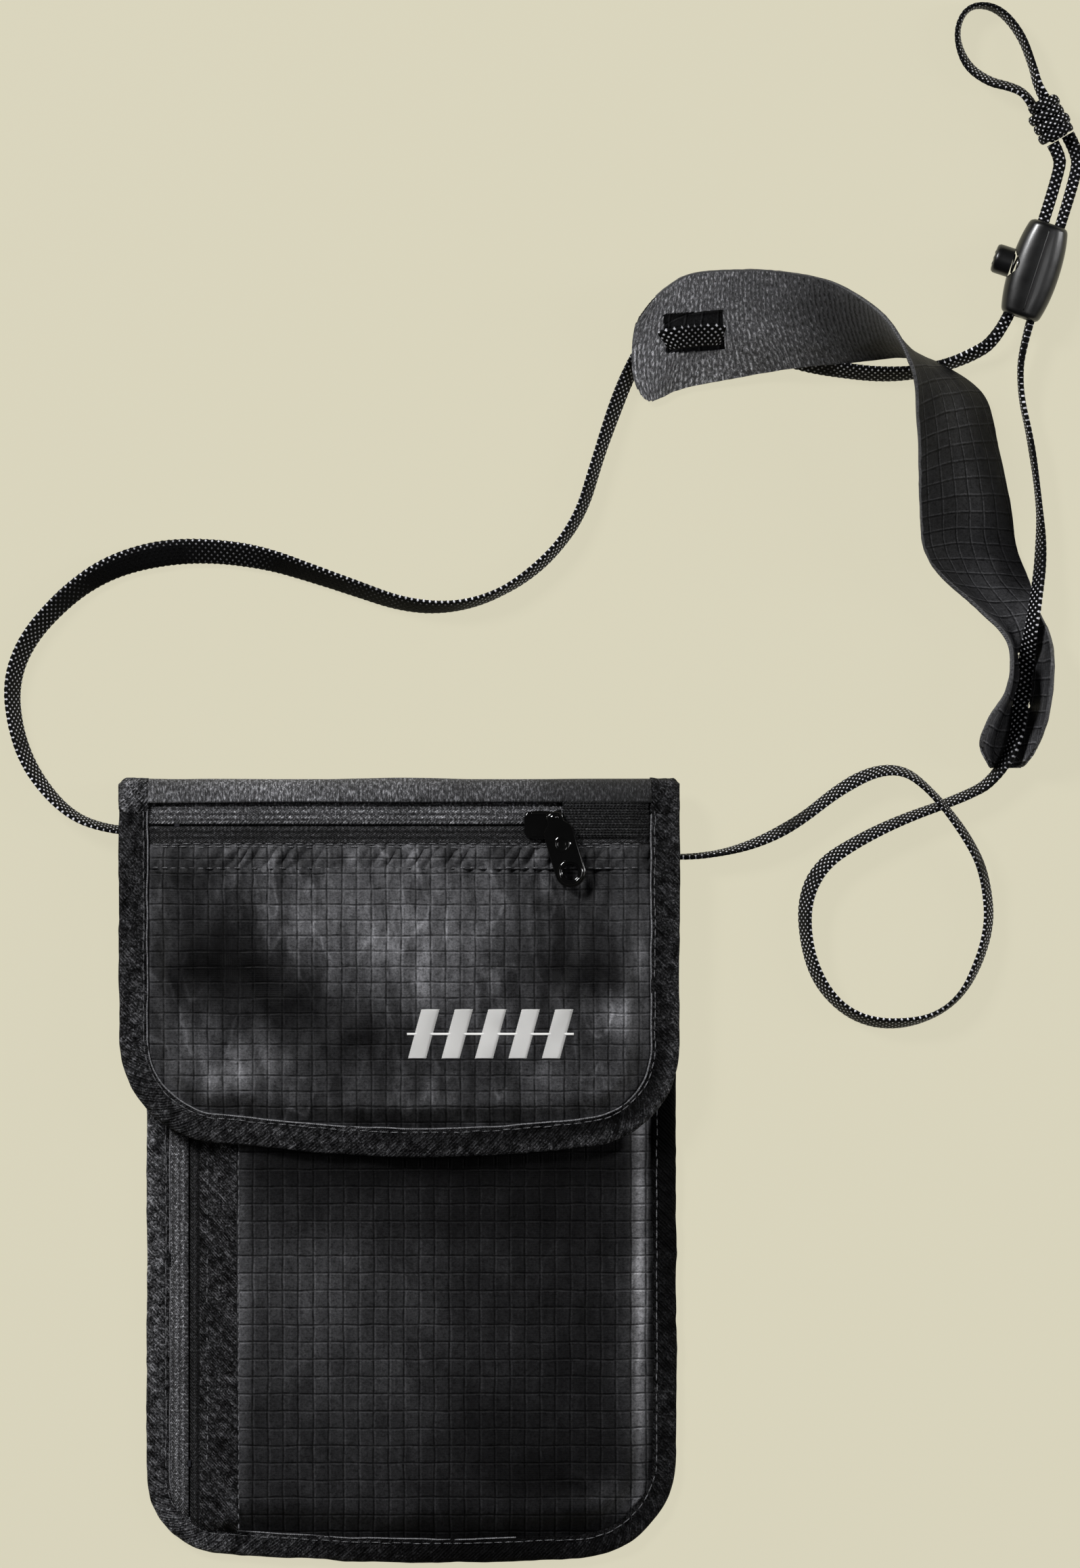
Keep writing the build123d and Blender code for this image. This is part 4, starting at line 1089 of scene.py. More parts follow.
def flap_z(x, y, d):
    """Flap's ripstop front: d is the distance inside the binding's inner edge."""
    rise = sstep(-0.6, 6.5, d) ** 0.85
    z = 9.35 + 4.2 * rise
    k = sstep(0.0, 7.0, d)
    # gathers running down from the seam strip, leaning to the right
    xx = x - (77.0 - y) * 0.35
    env = np.exp(-np.maximum(77.0 - y, 0) / 8.0) * (0.35 + 0.65 * sstep(-60, -30, x)) * (1 - 0.6 * sstep(25, 55, x))
    z = z + 0.75 * env * (np.sin(xx * TAU / 3.6 + 1.3 * vnoise(xx, y, 11, 51)) + 0.6 * vnoise(xx, y * 0.3, 3.0, 52))
    # broad soft folds across the panel
    z = z + 1.0 * k * vnoise(x * 0.9 + y * 0.35, y * 0.7 - x * 0.15, 17, 53)
    z = z + 0.42 * k * vnoise(x + 0.5 * y, y - 0.3 * x, 8.0, 54)
    z = z + 0.13 * k * vnoise(x, y, 3.6, 55)
    for (fx, fy, fa, fl, fwid, amp) in FOLDS:
        ca, sa = math.cos(fa), math.sin(fa)
        a = (x - fx) * ca + (y - fy) * sa
        b = -(x - fx) * sa + (y - fy) * ca
        z = z + 1.45 * amp * k * np.exp(-(a / fl) ** 2 - (b / (0.8 * fwid)) ** 2)
    return z


# long folds: middle x, y, direction, half length, half width, height
FOLDS = [
    (-40, 52, 1.9, 22, 5.0, -1.3), (-50, 40, 2.2, 18, 4.0, 0.9), (-20, 62, 1.2, 24, 6.0, 1.0),
    (-4, 58, 1.45, 20, 5.0, 0.7), (12, 66, 1.0, 16, 3.5, -0.8), (28, 60, 1.9, 20, 3.6, 0.8),
    (44, 58, 1.3, 22, 3.2, -1.0), (52, 50, 1.75, 20, 3.0, 0.9), (60, 44, 1.6, 20, 2.6, -0.7),
    (38, 38, 1.1, 16, 3.2, 0.7), (-30, 26, 0.5, 20, 4.0, 0.7), (-46, 28, 0.9, 14, 3.4, -0.8),
    (0, 16, 0.05, 34, 3.5, 0.5), (40, 18, -0.2, 22, 3.6, -0.5), (-58, 62, 1.5, 16, 2.6, 0.6)]

xs = np.linspace(FL + 0.9, FR - 0.9, 300)
ys = np.linspace(2.6, 77.3, 190)
X, Y = np.meshgrid(xs, ys, indexing="ij")
D = inside(flap_poly(0, 200.0), X, Y)
keep = (D[:-1, :-1] > 1.0) & (D[1:, 1:] > 1.0) & (D[1:, :-1] > 1.0) & (D[:-1, 1:] > 1.0)
Z = flap_z(X, Y, D - FW)
Z = Z - 0.5 * np.exp(-((Y - 77.2) / 0.7) ** 2)
# keep within the zip puller's clearance
puller = np.exp(-(((X - 43.0) / 7.0) ** 2 + ((Y - 80.0) / 12.0) ** 2))
Z = np.minimum(Z, 14.45 - 0.35 * puller)
ob = grid("flap_front_cloth", np.stack([X, Y, Z], -1), np.stack([X, Y], -1), M_RIPF, 0.4, keep=keep)
put(ob, "flap", "ripstop", "flap_front_panel")

# puckered strip between the two stitch lines
xs = np.linspace(FL + 0.9, FR - 0.9, 560)
ys = np.linspace(77.0, 83.3, 26)
X, Y = np.meshgrid(xs, ys, indexing="ij")
edge = np.minimum(X - FL, FR - X) - FW
rise = sstep(-0.6, 6.5, edge) ** 0.85
mid = np.sin(np.pi * (Y - 77.0) / 6.3)
ph = (X - (Y - 77) * 0.62)
amp = (0.2 + 0.8 * sstep(-62, -40, X)) * (1 - 0.55 * sstep(28, 50, X))
bend = ph + 1.9 * vnoise(ph, Y * 0, 7.5, 61) + 0.8 * vnoise(ph, Y * 0.5, 4.0, 60)
w = 1.5 * np.abs(np.sin(bend * math.pi / 4.1)) ** 1.6 - 0.9 + 0.5 * vnoise(ph, Y * 0.3, 1.7, 62)
amp = amp * (0.75 + 0.5 * vnoise(X, Y * 0, 12, 59))
Z = 9.35 + 4.0 * rise + 0.85 * mid * amp * w - 0.25 * (1 - mid)
Z = np.minimum(Z, 14.4)
ob = grid("flap_gather_strip", np.stack([X, Y, Z], -1), np.stack([X, Y], -1), M_RIPF, 0.4)


def strip_z(x, y):
    e = min(x - FL, FR - x) - FW
    return 9.35 + 4.0 * float(sstep(-0.6, 6.5, e)) ** 0.85


s1 = stitches("gather_stitch_low", [(FL + 8, 77.35), (FR - 8, 77.35)], lambda x, y: strip_z(x, y) + 0.02, 2.3, 1.7, 0.17, seed=8)
s2 = stitches("gather_stitch_top", [(FL + 8, 82.7), (FR - 8, 82.7)], lambda x, y: strip_z(x, y) + 0.1, 2.3, 1.8, 0.17, seed=9)
s3 = stitches("gather_stitch_edge", [(FL + 8, 83.45), (FR - 8, 83.45)], lambda x, y: strip_z(x, y) + 0.12, 2.6, 2.3, 0.16, seed=10)
put(join("flap_gather_strip", [ob, s1, s2, s3]), "flap", "ripstop", "flap_zip_seam_strip")


def flap_side(u_x, z_mid):
    e = np.minimum(u_x - FL, FR - u_x) - FW
    return 9.3 + (z_mid - 9.3) * sstep(-0.6, 6.4, e)


def tape_low(u, v):
    d = 88.2 - u
    z = flap_side(v, 13.05)
    return z + ridge(d) + 0.05 * vnoise(u, v, 5, 63) + 0.05 * np.sin(v * TAU / 1.15) * np.exp(-((d - 0.9) / 0.4) ** 2)


def tape_up(u, v):
    d = u - 88.2
    z = flap_side(v, 13.05) - 3.2 * sstep(92.5, 93.6, u)
    return z + ridge(d) + 0.05 * vnoise(u, v, 5, 64) + 0.05 * np.sin(v * TAU / 1.15) * np.exp(-((d - 0.9) / 0.4) ** 2)


vs = np.linspace(FL + 0.9, FR - 0.9, 620)
ob = tape_grid("flap_zip_tape_low", np.linspace(83.3, 87.9, 22), vs, tape_low, M_TAPE2, "x")
put(ob, "flap", "zip_tape", "flap_zip_tape_lower")
ob = tape_grid("flap_zip_tape_up", np.r_[np.linspace(88.5, 92.6, 20), np.linspace(92.7, 94.4, 12)], vs, tape_up, M_TAPE_PAINTED_LIGHT, "x")
put(ob, "flap", "zip_tape", "flap_zip_tape_upper")
for side, nm in ((-1, "lower"), (1, "upper")):
    ob = coil("flap_zip_coil_" + nm, -57.2, 57.4, 88.2 + side * 1.3, 12.2, 0.55, 0.36, "x", M_COIL)
    put(ob, "flap", "zip_coil", "flap_zip_coil_" + nm)

# ribbed zip garage at the closed end
xs = np.linspace(41.6, 63.4, 40)
ys = np.linspace(85.2, 94.6, 150)
X, Y = np.meshgrid(xs, ys, indexing="ij")
edge = np.minimum(X - FL, FR - X) - FW
Z = 9.9 + 4.0 * sstep(-0.6, 6.4, edge)
Z = Z + 0.16 * np.sin(Y * TAU / 0.68) - 1.4 * np.exp(-((Y - 94.9) / 0.5) ** 2) - 0.8 * np.exp(-((Y - 84.9) / 0.4) ** 2)
Z = Z - 0.5 * np.exp(-((X - 41.2) / 0.5) ** 2)
ob = grid("zip_garage_rib", np.stack([X, Y, Z], -1), np.stack([Y, X], -1), M_GARAGE, 0.35)
put(ob, "flap", "twill_tape", "zip_garage")

# flap lining
xs = np.linspace(FL + 0.9, FR - 0.9, 100)
ys = np.linspace(2.8, 98.6, 80)
X, Y = np.meshgrid(xs, ys, indexing="ij")
D = inside(flap_poly(0, 200.0), X, Y)
keep = (D[:-1, :-1] > 1.0) & (D[1:, 1:] > 1.0) & (D[1:, :-1] > 1.0) & (D[:-1, 1:] > 1.0)
Z = 8.7 + 0.1 * vnoise(X, Y, 15, 66)
ob = grid("flap_lining_cloth", np.stack([X, Y, Z], -1), np.stack([X, Y], -1), M_LINING, 0.4, keep=keep)
put(ob, "flap", "lining_fabric", "flap_lining")

ob = binding("flap_edge_binding", FPOLY, FW, 7.9, 2.3, M_TWILLF, 71, 0.3)
ob2 = stitches("flap_binding_stitches", strip_line(FPOLY, FW - 0.9), lambda x, y: 10.38, 2.6, 2.35, 0.15, seed=12)
ob3 = edge_thread("flap_binding_line", FPOLY, FW + 0.05, 10.25, 0.22, 16, lambda P: P[:, 1] < 93.0)
put(join("flap_edge_binding", [ob, ob2, ob3]), "flap", "twill_tape", "flap_binding")

# fold: knit band wrapping from the back panel over to the zip, with bound sides
RO, RI = 5.3, 4.75
ang = np.linspace(-math.pi / 2, math.pi / 2, 40)
lowp = [(yy, zz) for yy, zz in zip(np.linspace(84.0, 94.4, 14), 1.35 + 1.95 * sstep(86.0, 94.4, np.linspace(84.0, 94.4, 14)))]
arcp = [(HY + RO * math.cos(a), HZ + RO * math.sin(a)) for a in ang]
topp = [(HY - 0.25, HZ + RO + 0.02), (HY - 0.45, HZ + RO - 0.15), (HY - 0.5, HZ + RO - 0.5)]
prof = np.array(lowp[:-1] + arcp + topp)
arc = np.r_[0, np.cumsum(np.linalg.norm(np.diff(prof, axis=0), axis=1))]
xs = np.linspace(-63.9, 64.1, 260)
P = np.zeros((len(xs), len(prof), 3))
UV = np.zeros((len(xs), len(prof), 2))
for j, (yy, zz) in enumerate(prof):
    out = vnoise(xs, np.full(len(xs), yy), 26, 81) * 0.22 + vnoise(xs, np.full(len(xs), yy * 2), 8, 82) * 0.07
    dy, dz = (yy - HY) / RO, (zz - HZ) / RO
    on_arc = 1.0 if yy > HY else 0.3
    edge_x = np.minimum(xs - FL, FR - xs) - FW
    ztop = 10.5 + (HZ + RO - 10.5) * sstep(-1.6, 6.0, edge_x)
    low = HZ - RO
    if zz > low:
        zz = low + (zz - low) * (ztop - low) / (2 * RO)
    P[:, j, 0] = xs
    P[:, j, 1] = yy + out * dy * on_arc + vnoise(xs, np.zeros(len(xs)), 30, 83) * 0.25 * (1 if j >= len(prof) - 4 else 0)
    P[:, j, 2] = zz + out * max(dz, -0.2) * on_arc
    UV[:, j, 0] = xs
    UV[:, j, 1] = arc[j]
ob = grid("fold_band_cloth", P, UV, M_KNIT, 0.4)
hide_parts("fold_band")
fold_cloth = ob


def side_binding(name, x_out, x_in):
    """Binding tape carried round the fold at one side."""
    zc, hz = 6.55, 3.85
    pr = np.array([(84.0, 2.2), (88.0, 2.45), (91.5, 2.6)] + [(HY + (RO + 0.1) * math.cos(a), zc + hz * math.sin(a)) for a in ang]
                  + [(HY - 1.0, zc + hz + 0.06), (HY - 2.4, zc + hz + 0.02), (HY - 3.4, zc + hz - 0.35)])
    ds = np.r_[0, np.cumsum(np.linalg.norm(np.diff(pr, axis=0), axis=1))]
    m = 16
    P = np.zeros((len(pr), m, 3))
    UV = np.zeros((len(pr), m, 2))
    for j in range(m):
        f = j / (m - 1)
        x = x_out + (x_in - x_out) * f
        roll = 1.5 * math.exp(-(f / 0.13) ** 2)
        for i, (yy, zz) in enumerate(pr):
            n = np.array([yy - HY, zz - zc])
            n = n / max(1e-6, np.linalg.norm(n))
            bump = 0.22 * float(vnoise(ds[i], x * 1.3, 2.6, 91)) + 0.16 * float(vnoise(ds[i], x, 1.3, 92))
            xx = x + float(vnoise(ds[i], 0.0, 4, 93)) * 0.15
            P[i, j] = (xx, yy - n[0] * (roll - bump), zz - n[1] * (roll - bump))
            UV[i, j] = (f * 7.4, ds[i])
    return grid(name, P, UV, M_TWILL_PAINTED_HIGHLIGHT if x_out < 0 else M_TWILLF, 0.5)


lb = side_binding("fold_binding_left", FL + 0.05, FL + 7.5)
rb = side_binding("fold_binding_right", FR - 0.05, FR - 7.5)
for o in (fold_cloth, lb, rb):
    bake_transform(o)

# motif: plain slanted lozenges in satin stitch on a thin base line
def lozenge(cx, z):
    rows = 44
    verts, faces, uvs = [], [], []
    y0, y1 = 28.9, 41.4
    for i in range(rows):
        f = i / (rows - 1)
        y = y0 + (y1 - y0) * f
        xl = cx - 4.0 + 3.4 * f
        xr = cx + 0.6 + 3.4 * f
        c = 0.5 * (xl + xr)
        hgt = 0.34 + 0.09 * (1 if i % 2 else 0)
        for g in np.linspace(0, 1, 7):
            x = xl + (xr - xl) * g
            verts.append((x + (0.12 if i % 2 and g in (0.0, 1.0) else 0), y, z + hgt * math.sin(math.pi * (0.12 + 0.76 * g))))
            uvs.append((x * 3, y * 3))
    for i in range(rows - 1):
        for g in range(6):
            a = i * 7 + g
            faces.append((a, a + 1, a + 8, a + 7))
    return make("loz", verts, faces, uvs, M_WHITE)


def drape(ob, lift=0.0):
    """Sets a flat piece's height onto the flap cloth's surface."""
    co = np.array([v.co for v in ob.data.vertices], float) / MM
    d = inside(flap_poly(0, 200.0), co[:, 0], co[:, 1]) - FW
    zf = np.minimum(flap_z(co[:, 0], co[:, 1], d), 14.45)
    co[:, 2] = zf + 0.2 + lift + (co[:, 2] - 14.0)
    for v, c in zip(ob.data.vertices, co):
        v.co = Vector(c * MM)
    return ob


obs = [solidify(lozenge(6.2 + 8.5 * i, 14.0), 0.25, -1) for i in range(5)]
bar = grid("bar", np.stack([*np.meshgrid(np.linspace(2.0, 44.4, 90), np.linspace(34.85, 35.45, 4), indexing="ij"), np.full((90, 4), 14.12)], -1),
           np.zeros((90, 4, 2)), M_WHITE, 0.2)
motif = drape(join("stitched_motif", obs + [bar]), -0.02)
put(motif, "flap", "embroidery", "embroidered_patch")

# hook and loop patches, out of sight between flap and body
def tufts(name, z, up, mat, seed):
    """Woven patch with a field of short loops."""
    xs = np.linspace(-20, 20, 161)
    ys = np.linspace(15, 30, 61)
    X, Y = np.meshgrid(xs, ys, indexing="ij")
    r = np.random.default_rng(seed)
    H = (np.sin(X * TAU / 1.6 + 0.5 * np.sin(Y * 2.1)) * np.sin(Y * TAU / 1.6) * 0.5 + 0.5) * 0.32 + r.uniform(0, 0.1, X.shape)
    E = np.minimum(np.minimum(X + 20, 20 - X), np.minimum(Y - 15, 30 - Y))
    H = H * sstep(0.2, 1.0, E)
    return grid(name, np.stack([X, Y, z + up * H], -1), np.stack([X, Y], -1), mat, 0.3, -up)


put(tufts("loop_patch_pile", 6.95, 1, M_HOOK, 3), "pouch", "hook_loop", "loop_patch")
put(tufts("hook_patch_pile", 8.1, -1, M_HOOK, 4), "flap", "hook_loop", "hook_patch")

# ================================================================ the cords
def spline_path(name, route, res=14):
    """Centreline of a NURBS spline through the route's control points, in mm."""
    cu = bpy.data.curves.new(name, "CURVE")
    cu.dimensions = "3D"
    cu.resolution_u = res
    sp = cu.splines.new("NURBS")
    sp.points.add(len(route) - 1)
    for p, q in zip(sp.points, route):
        p.co = (q[0] * MM, q[1] * MM, q[2] * MM, 1)
    sp.order_u = 3
    sp.use_endpoint_u = True
    ob = link(bpy.data.objects.new(name, cu))
    bpy.context.view_layer.update()
    me = bpy.data.meshes.new_from_object(ob.evaluated_get(bpy.context.evaluated_depsgraph_get()))
    pts = np.array([v.co for v in me.vertices], float) / MM
    bpy.data.objects.remove(ob)
    bpy.data.curves.remove(cu)
    bpy.data.meshes.remove(me)
    return pts


def ribbon(name, pts, table, mat, seed, k=18, flat=False):
    """Flat braided cord along pts. table rows: arc share, roll in degrees, width, thickness."""
    s = np.r_[0, np.cumsum(np.linalg.norm(np.diff(pts, axis=0), axis=1))]
    n = int(s[-1] / 0.55)
    ss = np.linspace(0, s[-1], n)
    C = np.stack([np.interp(ss, s, pts[:, i]) for i in range(3)], 1)
    T = np.gradient(C, axis=0)
    T /= np.linalg.norm(T, axis=1)[:, None]
    side = np.stack([-T[:, 1], T[:, 0], np.zeros(n)], 1)
    side /= np.linalg.norm(side, axis=1)[:, None]
    up = np.cross(T, side)
    tb = np.array(table, float)
    roll = np.radians(np.interp(ss, tb[:, 0] * s[-1], tb[:, 1])) + np.radians(7) * vnoise(ss, np.zeros(n), 16, seed)
    w = np.interp(ss, tb[:, 0] * s[-1], tb[:, 2])
    t = np.interp(ss, tb[:, 0] * s[-1], tb[:, 3])
    W = side * np.cos(roll)[:, None] + up * np.sin(roll)[:, None]
    N = -side * np.sin(roll)[:, None] + up * np.cos(roll)[:, None]
    # lift so that nothing goes below the surface it lies on
    low = np.abs(W[:, 2]) * w / 2 + np.abs(N[:, 2]) * t / 2
    lift = np.maximum(0, low + 0.05 - C[:, 2])
    ker = np.hanning(25)
    lift = np.maximum(lift, np.convolve(np.pad(lift, 12, "edge"), ker / ker.sum(), "valid"))
    C = C + np.array([0, 0, 1.0]) * lift[:, None]
    R = np.zeros((n, k, 3))
    U = np.zeros((n, k, 2))
    for a in range(k):
        an = TAU * a / k
        ca, sa = math.cos(an), math.sin(an)
        x = np.sign(ca) * abs(ca) ** 0.72
        y = np.sign(sa) * abs(sa) ** 0.62
        # two soft grooves along the flat faces and a gentle woven swell
        y = y * (1 - 0.16 * math.exp(-((x) / 0.13) ** 2))
        swell = 1 + 0.035 * np.sin(ss * TAU / 1.55 + (0 if x > 0 else math.pi))
        R[:, a] = C + W * (x * w / 2 * swell)[:, None] + N * (y * t / 2 * swell)[:, None]
        U[:, a, 0] = (x * w / 2) + (3.3 if sa < 0 else 0.0) * 0.0
        U[:, a, 1] = ss
    return tube_mesh(name, R, U, mat), C, ss


def route_share(pts, route):
    """Arc share along pts nearest to each route point."""
    s = np.r_[0, np.cumsum(np.linalg.norm(np.diff(pts, axis=0), axis=1))]
    out = []
    last = 0
    for q in route:
        d = np.linalg.norm(pts[last:] - np.array(q), axis=1)
        # nearest point at or after the one before, within reach
        reach = np.searchsorted(s, s[last] + 60) - last
        j = last + int(d[:max(2, reach)].argmin())
        out.append(s[j] / s[-1])
        last = j
    out[0], out[-1] = 0.0, 1.0
    return out


Z0 = 1.62
LEFT = [(-64.65, 86.6, Z0), (-73.6, 86.6, Z0), (-86.2, 91.6, Z0), (-97.6, 107.6, Z0), (-99.7, 130.3, Z0), (-82.1, 150.4, Z0),
        (-62.5, 158.3, Z0), (-38.8, 157.9, Z0), (-17.4, 150.8, Z0), (6.1, 142.5, Z0), (26.8, 146.6, Z0), (44.9, 162.8, Z0),
        (51.5, 185.2, Z0), (59.0, 205.6, 1.6), (64.2, 211.0, 4.6), (68.6, 211.9, 10.6), (75.0, 212.9, 10.1), (81.0, 213.2, 10.4),
        (85.6, 212.6, 5.2), (92.0, 210.4, 2.2), (104.6, 205.4, Z0), (126.4, 202.5, Z0), (142.6, 206.2, 2.3), (154.6, 213.2, 5.1),
        (168.47, 255.25, 5.1), (168.05, 259.23, 5.1), (166.45, 262.0, 5.1)]
# roll (degrees from flat), width and thickness at each route point
LT = [(80, 5.6, 1.3), (78, 5.8, 1.3), (72, 6.2, 1.3), (60, 6.5, 1.25), (54, 6.5, 1.25), (40, 6.6, 1.25),
      (14, 6.7, 1.25), (24, 6.6, 1.25), (52, 6.4, 1.25), (62, 6.2, 1.3), (76, 6.0, 1.3), (62, 6.0, 1.3),
      (62, 5.8, 1.3), (48, 5.6, 1.3), (38, 6.0, 1.3), (33, 6.6, 1.25), (32, 6.8, 1.25), (32, 6.6, 1.25),
      (36, 6.0, 1.3), (40, 5.8, 1.3), (48, 5.8, 1.3), (52, 5.6, 1.4), (56, 4.8, 1.6), (30, 3.0, 1.8),
      (24, 3.0, 1.8), (36, 3.6, 1.9), (30, 3.6, 2.0)]
RIGHT = [(170.26, 264.2, 5.1), (172.5, 260.3, 5.1), (172.98, 254.9, 5.1), (158.75, 211.6, 5.1), (158.0, 199.5, 2.9), (161.2, 185.6, Z0),
         (163.4, 168.0, Z0), (163.6, 156.6, 2.6), (162.4, 147.0, 5.4), (160.9, 137.6, 5.6), (160.1, 131.6, 1.3), (159.2, 125.0, 0.7),
         (158.4, 118.8, 2.8), (156.9, 108.5, 5.6), (152.0, 100.5, 3.0), (146.4, 96.2, 2.2), (121.5, 87.3, Z0), (102.6, 74.9, Z0),
         (104.3, 50.0, Z0), (118.4, 36.3, Z0), (141.0, 39.6, Z0), (150.7, 59.4, Z0), (149.6, 75.0, 3.4), (144.6, 85.4, 8.1),
         (135.2, 97.4, 8.1), (127.0, 103.2, 4.6), (115.4, 100.0, Z0), (98.5, 86.4, Z0), (80.6, 80.1, Z0), (70.65, 80.1, Z0)]
RT = [(30, 3.6, 2.0), (42, 3.8, 1.9), (26, 3.0, 1.8), (86, 3.0, 1.8), (86, 4.0, 1.4), (82, 5.2, 1.3),
      (76, 5.6, 1.3), (70, 5.4, 1.4), (60, 4.6, 1.5), (46, 4.0, 1.6), (24, 4.2, 1.3), (0, 4.6, 1.1),
      (30, 4.2, 1.5), (46, 4.4, 1.5), (66, 5.0, 1.4), (74, 5.6, 1.3), (62, 5.8, 1.3), (54, 6.0, 1.25),
      (60, 6.0, 1.25), (74, 6.0, 1.25), (78, 6.0, 1.25), (72, 6.0, 1.25), (74, 6.0, 1.25), (72, 5.8, 1.25),
      (74, 5.6, 1.25), (70, 5.8, 1.25), (62, 5.8, 1.3), (70, 5.8, 1.3), (82, 5.2, 1.3), (84, 4.6, 1.4)]
LOOP = [(161.28, 271.76, 5.1), (159.53, 274.79, 5.1), (155.4, 276.6, 4.6), (150.2, 277.8, 3.4), (144.2, 282.2, 2.3), (141.6, 290.6, Z0),
        (144.9, 297.5, Z0), (152.4, 297.1, Z0), (158.5, 290.2, 2.2), (161.6, 281.4, 3.6), (162.65, 276.6, 5.1), (164.4, 273.57, 5.1)]
OT = [(60, 3.8, 1.8), (64, 4.4, 1.5), (66, 5.0, 1.35), (68, 5.4, 1.25), (70, 5.4, 1.25), (78, 5.4, 1.25),
      (82, 5.4, 1.2), (80, 5.4, 1.2), (78, 5.4, 1.2), (76, 5.2, 1.25), (70, 4.4, 1.5), (60, 3.8, 1.8)]


def cord(name, route, table, seed, mat=None):
    pts = spline_path(name + "_line", route)
    sh = route_share(pts, route)
    ob, C, ss = ribbon(name, pts, [(a, *b) for a, b in zip(sh, table)], mat or M_BRAID, seed)
    return ob, C, ss


cord_l, CL, SL = cord("neck_cord_left_braid", LEFT, LT, 101, M_BRAIDL)
cord_r, CR, SR = cord("neck_cord_right_braid", RIGHT, RT, 102)
cord_o, CO, SO = cord("pull_loop_braid", LOOP, OT, 103)
for o, nd in ((cord_l, "neck_cord_left"), (cord_r, "neck_cord_right"), (cord_o, "pull_loop")):
    put(o, "pouch", "cord_braid", nd)

# ------------------------------------------------- the lock, button and spring
LANG = math.atan2(0.950, 0.312) - math.pi / 2
LC = (161.8, 229.6, 5.1)
ML = mm_matrix(LC, LANG)


def superloft(name, stations, mat, k=128, power=2.4):
    """Closed loft along y through superellipse sections (y, half width, half height, centre x)."""
    R = np.zeros((len(stations), k, 3))
    U = np.zeros((len(stations), k, 2))
    for i, (y, a, b, cx) in enumerate(stations):
        for j in range(k):
            an = TAU * j / k
            an = an - 0.16 * math.sin(4 * an)
            c, s = math.cos(an), math.sin(an)
            R[i, j] = (cx + a * np.sign(c) * abs(c) ** (2 / power), y, b * np.sign(s) * abs(s) ** (2 / power))
            U[i, j] = (j * 0.6, y)
    return tube_mesh(name, R, U, mat)


st = []
for f in np.linspace(-1, 1, 61):
    y = 12.5 * f
    body = math.sqrt(max(0.0, 1 - (abs(f) ** 2.1) * 0.44))
    endr = math.sqrt(max(0.0, 1 - max(0.0, (abs(f) - 0.90) / 0.10) ** 2))
    a = 6.45 * body * (0.84 + 0.16 * endr)
    b = 4.75 * (0.62 + 0.38 * body) * (0.72 + 0.28 * endr)
    st.append((y, a, b, 0.0))
lock = superloft("lock_shell", st, M_LOCK)
lock.data.transform(to_m(ML))


def cutter(M, r, h, k=32):
    return ring_lathe("cut", [(0, -h / 2), (r, -h / 2), (r, h / 2), (0, h / 2)], M_LOCK, M, k)


def boolean(ob, cut, op="DIFFERENCE"):
    m = ob.modifiers.new("b", "BOOLEAN")
    m.operation = op
    m.solver = "EXACT"
    m.object = cut
    bake(ob)
    d = cut.data
    bpy.data.objects.remove(cut)
    bpy.data.meshes.remove(d)
    return ob


for bu in (-1.7, 2.7):
    boolean(lock, cutter(ML @ Matrix.Translation(Vector((bu, 0, 0))) @ Matrix.Rotation(math.pi / 2, 4, "X"), 1.9, 30))
boolean(lock, cutter(ML @ Matrix.Translation(Vector((-8.25, 0, 0))) @ Matrix.Rotation(math.pi / 2, 4, "Y"), 3.95, 8.3, 40))
auto_flat(lock, 38)
# parting line round the long way, as a raised flash
seam = []
zs = [4.77 * (0.62 + 0.38 * math.sqrt(1 - (abs(f) ** 2.1) * 0.44)) for f in np.linspace(-0.86, 0.86, 40)]
R = np.zeros((40, 6, 3))
for i, (f, z) in enumerate(zip(np.linspace(-0.86, 0.86, 40), zs)):
    for j in range(6):
        an = TAU * j / 6
        R[i, j] = (0.35 + 0.16 * math.cos(an), 12.5 * f, z + 0.14 * math.sin(an))
flash = tube_mesh("lock_flash", R, np.zeros((40, 6, 2)), M_LOCK)
flash.data.transform(to_m(ML))
put(join("lock_shell", [lock, flash]), "cord_lock", "moulded_black", "cord_lock_housing")

MBUT = ML @ Matrix.Rotation(math.pi / 2, 4, "Y")
but = ring_lathe("lock_button", [(0, -10.55), (1.9, -10.6), (2.3, -10.75), (2.9, -10.8), (3.45, -10.6), (3.75, -10.1), (3.8, -9.4), (3.8, -6.15),
                                 (2.95, -6.15), (2.95, -9.7), (0, -9.7)], M_LOCK, MBUT, 48)
auto_flat(but, 50)
grips = []
for yy in (-1.5, 0.0, 1.5):
    grips.append(rbox("grip", (-10.78, yy, 0), (0.3, 0.7, 3.4), 0.13, M_LOCK))
    grips[-1].data.transform(to_m(ML))
put(join("lock_button_cap", [but] + grips), "lock_button", "moulded_black", "cord_lock_button")

t_ = np.linspace(0, 4.5 * TAU, 260)
c = np.stack([-9.55 + 5.2 * t_ / t_[-1], 2.33 * np.cos(t_), 2.33 * np.sin(t_)], 1)
d = np.gradient(c, axis=0)
d /= np.linalg.norm(d, axis=1)[:, None]
s1 = np.cross(d, np.array([1.0, 0, 0]))
s1 /= np.linalg.norm(s1, axis=1)[:, None]
s2 = np.cross(d, s1)
R = np.stack([c + 0.24 * (math.cos(TAU * j / 8) * s1 + math.sin(TAU * j / 8) * s2) for j in range(8)], 1)
spr = tube_mesh("lock_spring_wire", R, np.zeros((260, 8, 2)), M_STEEL)
spr.data.transform(to_m(ML))
put(spr, "cord_lock", "spring_steel", "cord_lock_spring")
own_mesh(spr)

